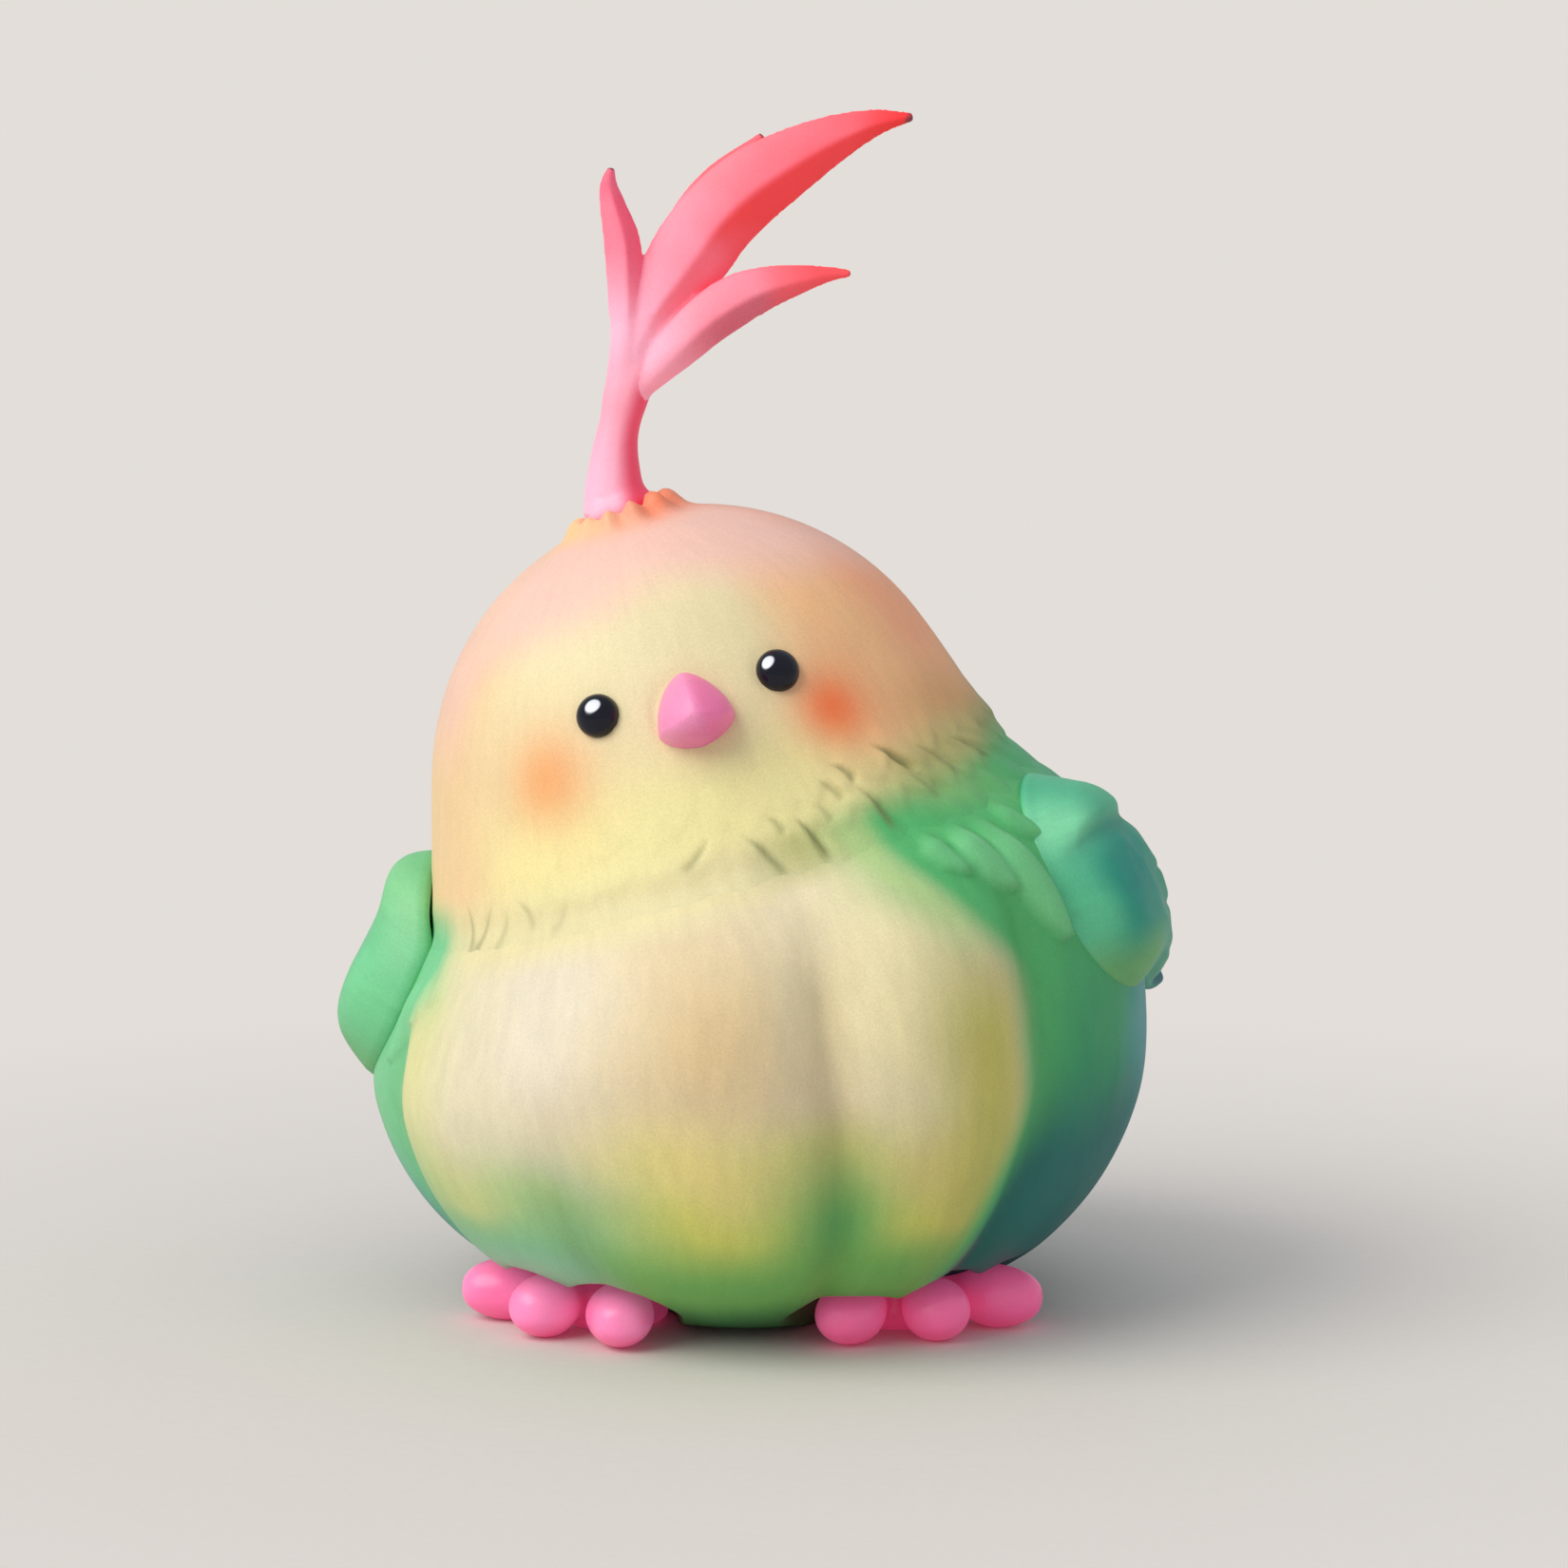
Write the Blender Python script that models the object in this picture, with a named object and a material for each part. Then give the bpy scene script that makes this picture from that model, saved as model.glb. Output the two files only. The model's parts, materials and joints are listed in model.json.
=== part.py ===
"""A vinyl art toy: a round bird with a nine-lobed body, a head that swivels on it and a tall crest.

The frame is in metres with +Z up. The origin is on the floor under the middle of the body, the body
faces -Y, and the bird's left is +X. An azimuth turns from -Y (the breast) towards +X, and a polar
angle turns away from the axis that the head swivels about. That axis leans to the bird's right.
"""

import math

import bmesh
import bpy
from mathutils import Matrix, Vector
from mathutils.bvhtree import BVHTree

MM = 0.001
CLEARANCE = 0.4 * MM
GLUE_GAP = 0.3 * MM
CIRCLE = 2.0 * math.pi

# A height over the body's side that is clear of everything, small steps that a skin's slope is
# measured over, and how often a search is halved.
OUTSIDE = 40.0 * MM
SLOPE_STEP = 0.5 * MM
SLOPE_ANGLE = math.radians(2.0)
HALVINGS = 30

# The body: an ellipsoid whose upper part leans, with a crease between each two lobes.
BODY_CENTRE = Vector((0.0, 0.0, 27.2 * MM))
BODY_RADIUS = 37.5 * MM
BODY_UP = 28.0 * MM
BODY_DOWN = 28.0 * MM
BODY_FULLNESS = 0.75
BODY_WALL = 2.2 * MM
BODY_SEGMENTS = 54
BODY_RINGS_OUTSIDE = (9, 9)
BODY_RINGS_INSIDE = (5, 6)
HEM_POLAR = math.radians(118.0)
UNDERSIDE_POLAR = math.radians(172.0)
LEAN = math.radians(17.2)
LEAN_AZIMUTH = math.radians(-77.5)
LEAN_POWER = 1.6
LEAN_SHIFT = 2.5 * MM
BELLY_SHIFT = 0.7 * MM
BELLY_POLAR = math.radians(95.0)
SHOULDER_POLAR = math.radians(58.0)
LOBE_WIDTH = math.radians(40.0)
LOBE_POWER = 3
CREASE_START = (math.radians(60.0), math.radians(85.0))
SOFT_CREASE_START = (math.radians(95.0), math.radians(125.0))
CREASE_END = (math.radians(150.0), math.radians(180.0))
BREAST_CREASE = 1.9 * MM
SOFT_CREASE = 0.9 * MM
FLANK_CREASE = 1.7 * MM
WING_CREASE = 1.2 * MM
BACK_CREASE = 1.6 * MM

# The neck: a tube under the head snaps through a hole in the top of the body.
NECK_HOLE_RADIUS = 11.4 * MM
NECK_RADIUS = 11.0 * MM
NECK_BORE = 9.0 * MM
NECK_LIP = 12.9 * MM
NECK_LIP_HEIGHT = 0.8 * MM
NECK_TAPER = 2.4 * MM

# The head: a dome turned about the leaning axis, from the seat of the crest down to a thin rim.
HEAD_WALL = 2.0 * MM
HEAD_SEGMENTS = 36
DOME_RINGS_OUTSIDE = 6
DOME_RINGS_INSIDE = 5
CHEEK_RINGS = 3
SEAT_RINGS = 5
FLOOR_RINGS = 3
DOME_RADIUS = 25.6 * MM
DOME_CENTRE = 24.5 * MM
DOME_END = math.radians(67.2)
CHEEK_PULL = (26.1 * MM, 28.2 * MM)
SKIRT_PULL = (27.4 * MM, 21.6 * MM)
RIM = (28.8 * MM, 18.9 * MM)
RIM_THICKNESS = 0.2 * MM
FLOOR_EDGE = RIM[0] - 3.9 * MM
INNER_CHEEK_SHARES = (0.33, 0.1)
SEAT_HEIGHT = 50.0 * MM
SEAT_RADIUS = 3.7 * MM
COLLAR = (4.5 * MM, 50.9 * MM)
COLLAR_EDGE = 5.8 * MM
FACE_AZIMUTH = math.radians(16.2)

# The eyes and the beak are pressed into the head.
EYE_RADIUS = 2.0 * MM
EYE_SPREAD = math.radians(20.0)
EYE_HEIGHT = 34.5 * MM
EYE_STEM = 0.9 * MM
EYE_BULGE = 0.75
EYE_RINGS = 4
BEAK_WIDTH = 7.3 * MM
BEAK_REACH = 5.3 * MM
BEAK_HEIGHT = 32.3 * MM
BEAK_DROOP = 1.3 * MM
BEAK_DROOP_POWER = 1.5
BEAK_CORNER_POWER = 1.15
BEAK_END = 0.97
BEAK_RINGS = 6
BEAK_STEM = 1.5 * MM
POCKET_DEPTH = 0.9 * MM
POCKET_TOP = 3.0 * MM
STEM_LENGTH = 3.6 * MM
STEM_HOLE = (-5.0 * MM, 1.0 * MM)

# The crest's foot, and the socket and the pin under it.
CREST_FOOT_RADIUS = 3.3 * MM
CREST_FOOT_WAIST = 2.4 * MM
CREST_FOOT_EDGE = 1.0 * MM
CREST_FOOT_TOP = 2.0 * MM
CREST_SOCKET = (-1.0 * MM, 4.3 * MM)
CREST_PIN_TOP = 4.0 * MM
BLADE_STEPS = 2
BLADE_CORNERS = 10

# Pins: a shank glued into the moving piece, and a barbed head inside the shell it goes through.
PIN_RADIUS = 1.5 * MM
CREST_PIN_RADIUS = 1.3 * MM
FOOT_PIN_RADIUS = 2.0 * MM
BARB_OVERHANG = 1.1 * MM
BARB_LENGTH = 2.4 * MM
BARB_EDGE = 0.6 * MM
BARB_SLACK = 0.1 * MM
BARB_TIP = 0.7
SMALL_ROUND_SEGMENTS = 16
LARGE_ROUND_SEGMENTS = 20

# The wings: a round shoulder and a pointed tip, draped over the body. The head leans over the right
# wing, which stands further off the body to clear the head's rim.
WING_AZIMUTH = math.radians(84.0)
WING_POLAR_LEFT = math.radians(79.0)
WING_POLAR_RIGHT = math.radians(67.0)
WING_SHOULDER = 11.0 * MM
WING_RISE = 3.0 * MM
WING_TIP_REACH = 14.0 * MM
WING_TIP_ANGLE = math.radians(-24.0)
WING_TIP_POWER = 7
WING_TIP_TIGHTNESS = 1.125
WING_THICKNESS = 3.0 * MM
WING_CLEARANCE = 0.6 * MM
WING_STANDOFF_RIGHT = 2.0 * MM
WING_EDGE = 0.9 * MM
WING_EDGE_POWER = 2.5
WING_RINGS = (0.0, 0.3, 0.55, 0.78, 0.93, 1.0)
WING_SEGMENTS = 26
WING_SOCKET = 1.6 * MM
WING_SOCKET_START = -3.0 * MM
WING_HOLE = (-6.0 * MM, 3.0 * MM)
WING_PIN_SLACK = 0.7 * MM
WING_SWINGS = [math.radians(angle) for angle in (-10, 0, 10, 20, 30, 40)]

# The feet: a pad with three toes, under a hollow in the body's underside.
STANCE_AZIMUTH = math.radians(12.5)
FOOT_ORBIT = 16.5 * MM
FOOT_SPREAD = math.radians(53.4)
FOOT_HEADING_LEFT = math.radians(37.5)
FOOT_HEADING_RIGHT = math.radians(-31.8)
TOE_SPREAD = math.radians(50.0)
SIDE_TOE = 11.0 * MM
MIDDLE_TOE = 8.9 * MM
TOE_RADIUS = 3.2 * MM
TOE_SQUASH = 0.88
TOE_ROOT = 0.78
TOE_SINK = 0.96
TOE_END = math.radians(78.0)
TOE_SHAFT_RINGS = 2
TOE_BALL_RINGS = 3
TOE_SEGMENTS = 12
PAD_RADIUS = 5.4 * MM
PAD_HEIGHT = 5.0 * MM
PAD_SOLE_CHAMFER = (0.8 * MM, 0.9 * MM)
PAD_TOP_CHAMFER = 1.4 * MM
FOOT_HOLE = (5.0 * MM, 12.0 * MM)
FOOT_SOCKET = 1.6 * MM
FOOT_ROOM = 6.6 * MM
ROOM_MARGIN = 4.4 * MM
ROOM_BLEND = 5.0 * MM
ROOM_SOFTNESS = 0.8 * MM

# The tail: a flat wedge glued into a slot in the back.
TAIL_POLAR = math.radians(103.0)
TAIL_TILT = math.radians(12.0)
TAIL_REACH = 12.0 * MM
TAIL_WIDTH = 13.0 * MM
TAIL_THICKNESS = 4.4 * MM
TAIL_ROUNDING = 2.4
TAIL_END = 0.985
TAIL_CORNER_POWER = 0.7
TAIL_RINGS = 8
TAIL_ROOT = 1.0 * MM
TAIL_SLOT = (-6.0 * MM, 4.0 * MM)

LEAN_DIRECTION = Vector((math.sin(LEAN_AZIMUTH), -math.cos(LEAN_AZIMUTH), 0.0))
LEAN_HINGE = Vector((0.0, 0.0, 1.0)).cross(LEAN_DIRECTION)
HEAD_TURN = Matrix.Rotation(LEAN, 4, LEAN_HINGE)
HEAD_PIVOT = BODY_CENTRE - LEAN_SHIFT * LEAN_DIRECTION


def smoothstep(value, low, high):
    share = min(max((value - low) / (high - low), 0.0), 1.0)
    return share * share * (3.0 - 2.0 * share)


def spread(low, high, steps):
    """Evenly spaced values from low to high, both ends included."""
    return [low + (high - low) * step / steps for step in range(steps + 1)]


def direction(azimuth, polar):
    side = math.sin(polar)
    return Vector((side * math.sin(azimuth), -side * math.cos(azimuth), math.cos(polar)))


def circle(segments):
    """Evenly spaced angles round a circle."""
    return [CIRCLE * index / segments for index in range(segments)]


def signed_power(value, power):
    """A power that keeps the value's sign."""
    return math.copysign(abs(value) ** power, value)


def clear_scene():
    for old in list(bpy.data.objects):
        bpy.data.objects.remove(old)


def material(name, colour, roughness):
    finish = bpy.data.materials.new(name)
    finish.use_nodes = True
    shader = finish.node_tree.nodes["Principled BSDF"]
    shader.inputs["Base Color"].default_value = (*colour, 1.0)
    shader.inputs["Roughness"].default_value = roughness
    shader.inputs["Metallic"].default_value = 0.0
    return finish


def placement(name, matrix):
    """An empty whose local Z is the axis that its children turn about."""
    empty = bpy.data.objects.new(name, None)
    empty.matrix_world = matrix
    bpy.context.scene.collection.objects.link(empty)
    return empty


def axis_frame(origin, axis, sideways):
    """A frame at origin with Z along axis and X as near to sideways as it can be."""
    up = axis.normalized()
    across = (sideways - sideways.dot(up) * up).normalized()
    frame = Matrix.Identity(4)
    frame.col[0] = (*across, 0.0)
    frame.col[1] = (*up.cross(across), 0.0)
    frame.col[2] = (*up, 0.0)
    frame.col[3] = (*origin, 1.0)
    return frame


def skin(rings, closed=False):
    """Joins rings of points, each with as many points as the next, or one point at a pole."""
    shape = bmesh.new()
    rows = [[shape.verts.new(point) for point in ring] for ring in rings]
    pairs = list(zip(rows, rows[1:]))
    if closed:
        pairs.append((rows[-1], rows[0]))
    for row, following in pairs:
        count = max(len(row), len(following))
        for index in range(count):
            after = (index + 1) % count
            corners = [row[index % len(row)], row[after % len(row)]]
            corners += [following[after % len(following)], following[index % len(following)]]
            shape.faces.new(list(dict.fromkeys(corners)))
    if not closed:
        for row in (rows[0], rows[-1]):
            if len(row) > 1:
                shape.faces.new(row)
    bmesh.ops.recalc_face_normals(shape, faces=shape.faces)
    return shape


def turned(profile, segments, closed=False):
    """Turns (radius, height) points about Z. A radius of zero is a pole."""
    rings = []
    for radius, height in profile:
        if radius == 0.0:
            rings.append([Vector((0.0, 0.0, height))])
            continue
        angles = circle(segments)
        rings.append([Vector((radius * math.cos(a), radius * math.sin(a), height)) for a in angles])
    return skin(rings, closed)


def add(name, shape, finish, parent=None):
    """Makes a named object of a shape that is drawn in its parent's frame."""
    mesh = bpy.data.meshes.new(name)
    shape.to_mesh(mesh)
    shape.free()
    mesh.shade_smooth()
    mesh.set_sharp_from_angle(angle=math.radians(40.0))
    piece = bpy.data.objects.new(name, mesh)
    bpy.context.scene.collection.objects.link(piece)
    piece.parent = parent
    if finish:
        mesh.materials.append(finish)
    return piece


def combine(piece, name, shape, operation, matrix=None):
    """Cuts a shape out of a piece, or joins it on. The shape is drawn in the piece's own frame,
    or in the frame given by matrix."""
    if matrix is not None:
        shape.transform(matrix)
    helper = add(name, shape, None, piece.parent)
    helper.display_type = "WIRE"
    helper.hide_render = True
    step = piece.modifiers.new(name, "BOOLEAN")
    step.operation = operation
    step.object = helper


def plug(radius, low, high):
    """A straight round cutter or boss along Z."""
    return turned([(0.0, low), (radius, low), (radius, high), (0.0, high)], SMALL_ROUND_SEGMENTS)


# ---------------------------------------------------------------- body

def crease_depth(azimuth, polar):
    """How deep the nearest crease is. Front right is soft and only shows low on the body."""
    crease = (math.floor(azimuth / LOBE_WIDTH) + 0.5) * LOBE_WIDTH
    number = round(math.degrees(crease))
    fade_out = 1.0 - smoothstep(polar, *CREASE_END)
    if number == -20:
        return SOFT_CREASE * smoothstep(polar, *SOFT_CREASE_START) * fade_out
    depth = {20: BREAST_CREASE, 60: FLANK_CREASE, 100: WING_CREASE}.get(abs(number), BACK_CREASE)
    return depth * smoothstep(polar, *CREASE_START) * fade_out


def lobe_drop(azimuth, polar):
    """The skin drops from the middle of a lobe to the crease at its edge."""
    turn = (azimuth + math.pi) % CIRCLE - math.pi
    from_middle = (turn + LOBE_WIDTH / 2) % LOBE_WIDTH - LOBE_WIDTH / 2
    edge = abs(from_middle) / (LOBE_WIDTH / 2)
    return crease_depth(turn, polar) * edge**LOBE_POWER


def lean_share(polar):
    """1 over the shoulders, and falling to 0 at the underside."""
    past = max(polar - SHOULDER_POLAR, 0.0) / (math.pi - SHOULDER_POLAR)
    return (1.0 - past) ** LEAN_POWER


def foot_frame(side):
    """The frame of a foot's pin: side is 1 for the bird's left and -1 for its right."""
    azimuth = STANCE_AZIMUTH + side * FOOT_SPREAD
    heading = FOOT_HEADING_LEFT if side > 0 else FOOT_HEADING_RIGHT
    origin = FOOT_ORBIT * direction(azimuth, math.pi / 2)
    return axis_frame(origin, Vector((0.0, 0.0, 1.0)), direction(heading, math.pi / 2))


def toes():
    """Each toe's turn from the foot's heading, and its length."""
    return [(-TOE_SPREAD, SIDE_TOE), (0.0, MIDDLE_TOE), (TOE_SPREAD, SIDE_TOE)]


def toe_segments():
    """The floor line under each toe, from the pin to the ball of the toe."""
    lines = []
    for side in (1, -1):
        frame = foot_frame(side)
        for turn, length in toes():
            end = frame @ Vector((length * math.cos(turn), length * math.sin(turn), 0.0))
            lines.append((frame.translation, end))
    return lines


TOE_LINES = toe_segments()


def distance_to_toes(point):
    flat = Vector((point.x, point.y, 0.0))
    nearest = 1.0
    for start, end in TOE_LINES:
        along = (end - start).dot(flat - start) / (end - start).length_squared
        foot = start.lerp(end, min(max(along, 0.0), 1.0))
        nearest = min(nearest, (flat - foot).length)
    return nearest


def on_the_floor(point, floor):
    """Hollows the underside over the feet, and flattens it where it rests on the floor."""
    cover = 1.0 - smoothstep(distance_to_toes(point), ROOM_MARGIN, ROOM_MARGIN + ROOM_BLEND)
    depth = (FOOT_ROOM + floor - point.z) / ROOM_SOFTNESS
    lift = ROOM_SOFTNESS * math.log1p(math.exp(depth))
    return Vector((point.x, point.y, max(point.z + cover * lift, floor)))


def body_point(azimuth, polar, inset=0.0):
    """A point of the outer skin, or of the inner skin when inset is the wall's thickness."""
    share = lean_share(polar)
    side = (BODY_RADIUS - inset - lobe_drop(azimuth, polar)) * math.sin(polar)
    height = (BODY_UP - inset) * math.cos(polar)
    if polar > math.pi / 2:
        side /= math.sin(polar) ** (1.0 - BODY_FULLNESS)
        height = (BODY_DOWN - inset) * math.cos(polar)
    local = side * direction(azimuth, math.pi / 2) + Vector((0.0, 0.0, height))
    top_share = 1.0 - smoothstep(polar, SHOULDER_POLAR, BELLY_POLAR)
    shift = BELLY_SHIFT + (LEAN_SHIFT - BELLY_SHIFT) * top_share
    centre = BODY_CENTRE - shift * LEAN_DIRECTION
    point = centre + Matrix.Rotation(share * LEAN, 3, LEAN_HINGE) @ local
    return on_the_floor(point, inset)


def body_rings(inset, polars):
    return [[body_point(azimuth, polar, inset) for azimuth in circle(BODY_SEGMENTS)] for polar in polars]


def body_shape():
    """One skin: up the inside from the floor, over the edge of the neck hole and down the outside."""
    rim_inside = math.asin(NECK_HOLE_RADIUS / (BODY_RADIUS - BODY_WALL))
    rim_outside = math.asin(NECK_HOLE_RADIUS / BODY_RADIUS)
    above, below = BODY_RINGS_INSIDE
    rising = spread(UNDERSIDE_POLAR, HEM_POLAR, below) + spread(HEM_POLAR, rim_inside, above)[1:]
    above, below = BODY_RINGS_OUTSIDE
    falling = spread(rim_outside, HEM_POLAR, above) + spread(HEM_POLAR, UNDERSIDE_POLAR, below)[1:]
    return skin(body_rings(BODY_WALL, rising) + body_rings(0.0, falling))


def wing_frame(side):
    """The wing's pin stands square to the skin: X is towards the tail, Z is outwards."""
    azimuth = side * WING_AZIMUTH
    polar = WING_POLAR_LEFT if side > 0 else WING_POLAR_RIGHT
    origin = body_point(azimuth, polar)
    down = body_point(azimuth, polar + SLOPE_ANGLE) - body_point(azimuth, polar - SLOPE_ANGLE)
    around = body_point(azimuth + SLOPE_ANGLE, polar) - body_point(azimuth - SLOPE_ANGLE, polar)
    outward = down.cross(around)
    if outward.dot(origin - BODY_CENTRE) < 0.0:
        outward.negate()
    return axis_frame(origin, outward, Vector((0.0, 1.0, 0.0)))


def tail_frame():
    """X is across the back, Y is up, and Z points the way the tail does."""
    origin = body_point(math.pi, TAIL_POLAR)
    outward = direction(math.pi, math.pi / 2 - TAIL_TILT)
    return axis_frame(origin, outward, Vector((1.0, 0.0, 0.0)))


def tail_sections(grow, low, high):
    """Rounded flat sections along the tail, between two depths and grown by a clearance."""
    rings = []
    for depth in spread(low, high, TAIL_RINGS):
        share = min(max(depth / TAIL_REACH, 0.0), TAIL_END)
        taper = math.sqrt(1.0 - share**TAIL_ROUNDING)
        half_width = TAIL_WIDTH / 2 * taper + grow
        half_thickness = TAIL_THICKNESS / 2 * taper + grow
        ring = []
        for angle in circle(SMALL_ROUND_SEGMENTS):
            across = half_width * signed_power(math.cos(angle), TAIL_CORNER_POWER)
            ring.append(Vector((across, half_thickness * math.sin(angle), depth)))
        rings.append(ring)
    return skin(rings)


def make_body(finish):
    body = add("body_shell", body_shape(), finish)
    for side, name in ((1, "left"), (-1, "right")):
        hole = plug(PIN_RADIUS + CLEARANCE, *WING_HOLE)
        combine(body, f"wing_hole_{name}", hole, "DIFFERENCE", wing_frame(side))
        hole = plug(FOOT_PIN_RADIUS + CLEARANCE, *FOOT_HOLE)
        combine(body, f"foot_hole_{name}", hole, "DIFFERENCE", foot_frame(side))
    slot = tail_sections(GLUE_GAP, *TAIL_SLOT)
    combine(body, "tail_slot", slot, "DIFFERENCE", tail_frame())


def make_tail(finish):
    holder = placement("tail_place", tail_frame())
    add("tail", tail_sections(0.0, -BODY_WALL - TAIL_ROOT, TAIL_REACH), finish, holder)


# ---------------------------------------------------------------- head

def bezier(start, pull_start, pull_end, end, share):
    rest = 1.0 - share
    weights = (rest**3, 3 * rest**2 * share, 3 * rest * share**2, share**3)
    points = (start, pull_start, pull_end, end)
    return tuple(sum(w * p[axis] for w, p in zip(weights, points)) for axis in (0, 1))


def dome_point(polar, inset=0.0):
    radius = DOME_RADIUS - inset
    return (radius * math.sin(polar), DOME_CENTRE + radius * math.cos(polar))


def cheek_point(share):
    """The profile from the end of the dome, where share is 0, to the rim, where it is 1."""
    return bezier(dome_point(DOME_END), CHEEK_PULL, SKIRT_PULL, RIM, share)


def over_the_seat(radius, rise):
    """The height of the body's turned shoulder at a radius, raised by rise along the skin's normal."""
    polar = math.asin(radius / (BODY_RADIUS + rise))
    return (radius, (BODY_UP + rise) * math.cos(polar))


def head_profile(hole):
    """The section of the head's wall, from the pin hole over the dome and back along the inside."""
    outside = [(hole, SEAT_HEIGHT), (SEAT_RADIUS, SEAT_HEIGHT), COLLAR]
    dome_start = math.asin(COLLAR_EDGE / DOME_RADIUS)
    outside += [dome_point(polar) for polar in spread(dome_start, DOME_END, DOME_RINGS_OUTSIDE)]
    outside += [cheek_point(share) for share in spread(0.0, 1.0, CHEEK_RINGS)[1:]]
    seat = [over_the_seat(r, CLEARANCE) for r in spread(RIM[0] - RIM_THICKNESS, NECK_RADIUS, SEAT_RINGS)]
    hole_edge = over_the_seat(NECK_HOLE_RADIUS, -BODY_WALL)[1]
    lip_top = over_the_seat(NECK_LIP, -BODY_WALL)[1] - CLEARANCE
    lip_low = lip_top - NECK_LIP_HEIGHT
    end = lip_low - NECK_TAPER
    neck = [(NECK_RADIUS, hole_edge - CLEARANCE), (NECK_LIP, lip_top), (NECK_LIP, lip_low)]
    neck += [(NECK_RADIUS - CLEARANCE, end), (NECK_BORE, end)]
    floor_rise = CLEARANCE + HEAD_WALL
    floor = [over_the_seat(r, floor_rise) for r in spread(NECK_BORE, FLOOR_EDGE, FLOOR_RINGS)]
    cheeks = [cheek_point(share) for share in INNER_CHEEK_SHARES]
    inside = [(radius - HEAD_WALL, height) for radius, height in cheeks]
    top = math.asin(hole / (DOME_RADIUS - HEAD_WALL))
    inside += [dome_point(polar, HEAD_WALL) for polar in spread(DOME_END, top, DOME_RINGS_INSIDE)]
    return outside + seat + neck + floor + inside


def head_radius(height):
    """The outer radius of the head at a height on its axis, found by halving."""
    if height > dome_point(DOME_END)[1]:
        return math.sqrt(DOME_RADIUS**2 - (height - DOME_CENTRE) ** 2)
    low, high = 0.0, 1.0
    for _ in range(HALVINGS):
        middle = (low + high) / 2
        if cheek_point(middle)[1] > height:
            low = middle
        else:
            high = middle
    return cheek_point(low)[0]


def face_frame(azimuth, height):
    """A frame on the head's skin, in the head's own frame: Z outwards and Y up the face."""
    slope = head_radius(height + SLOPE_STEP) - head_radius(height - SLOPE_STEP)
    flat = direction(azimuth, math.pi / 2)
    outward = Vector((flat.x * 2 * SLOPE_STEP, flat.y * 2 * SLOPE_STEP, -slope))
    origin = head_radius(height) * flat + Vector((0.0, 0.0, height))
    across = Vector((-flat.y, flat.x, 0.0))
    return axis_frame(origin, outward, across)


def beak_ring(depth, scale, droop):
    """A soft-cornered diamond across the beak, lowered by droop."""
    half = BEAK_WIDTH / 2 * scale
    ring = []
    for angle in circle(SMALL_ROUND_SEGMENTS):
        across = half * signed_power(math.cos(angle), BEAK_CORNER_POWER)
        rise = half * signed_power(math.sin(angle), BEAK_CORNER_POWER)
        ring.append(Vector((across, rise - droop, depth)))
    return ring


def beak_shape():
    base = -POCKET_DEPTH + GLUE_GAP
    rings = [beak_ring(base, 1.0, 0.0)]
    for share in spread(0.0, 1.0, BEAK_RINGS):
        swell = math.sqrt(1.0 - (share * BEAK_END) ** 2)
        rings.append(beak_ring(BEAK_REACH * share, swell, BEAK_DROOP * share**BEAK_DROOP_POWER))
    return skin(rings)


def eye_shape():
    """A low dome with a flat back and a stem behind it."""
    back = -POCKET_DEPTH + GLUE_GAP
    profile = [(0.0, -STEM_LENGTH), (EYE_STEM, -STEM_LENGTH), (EYE_STEM, back), (EYE_RADIUS, back)]
    for angle in spread(0.0, math.pi / 2, EYE_RINGS)[:-1]:
        profile.append((EYE_RADIUS * math.cos(angle), EYE_BULGE * EYE_RADIUS * math.sin(angle)))
    profile.append((0.0, EYE_BULGE * EYE_RADIUS))
    return turned(profile, SMALL_ROUND_SEGMENTS)


def make_eyes(head, axis, finish):
    for side, name in ((1, "left"), (-1, "right")):
        frame = face_frame(FACE_AZIMUTH + side * EYE_SPREAD, EYE_HEIGHT)
        pocket = plug(EYE_RADIUS + GLUE_GAP, -POCKET_DEPTH, POCKET_TOP)
        combine(head, f"eye_pocket_{name}", pocket, "DIFFERENCE", frame)
        combine(head, f"eye_hole_{name}", plug(EYE_STEM + GLUE_GAP, *STEM_HOLE), "DIFFERENCE", frame)
        eye = add(f"eye_{name}", eye_shape(), finish, axis)
        eye.matrix_local = frame


def make_beak(head, axis, finish):
    frame = face_frame(FACE_AZIMUTH, BEAK_HEIGHT)
    grown = 1.0 + 2 * GLUE_GAP / BEAK_WIDTH
    pocket = skin([beak_ring(depth, grown, 0.0) for depth in (-POCKET_DEPTH, BEAK_REACH)])
    combine(head, "beak_pocket", pocket, "DIFFERENCE", frame)
    combine(head, "beak_hole", plug(BEAK_STEM + GLUE_GAP, *STEM_HOLE), "DIFFERENCE", frame)
    beak = add("beak", beak_shape(), finish, axis)
    beak.matrix_local = frame
    stem = plug(BEAK_STEM, -STEM_LENGTH, BEAK_REACH / 2)
    combine(beak, "beak_stem", stem, "UNION", frame)


def make_head(finishes):
    frame = Matrix.Translation(HEAD_PIVOT) @ HEAD_TURN
    axis = placement("head_axis", frame)
    profile = head_profile(CREST_PIN_RADIUS + CLEARANCE)
    head = add("head_shell", turned(profile, HEAD_SEGMENTS, closed=True), finishes["head"], axis)
    make_eyes(head, axis, finishes["eye"])
    make_beak(head, axis, finishes["beak"])


# ---------------------------------------------------------------- crest

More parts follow.
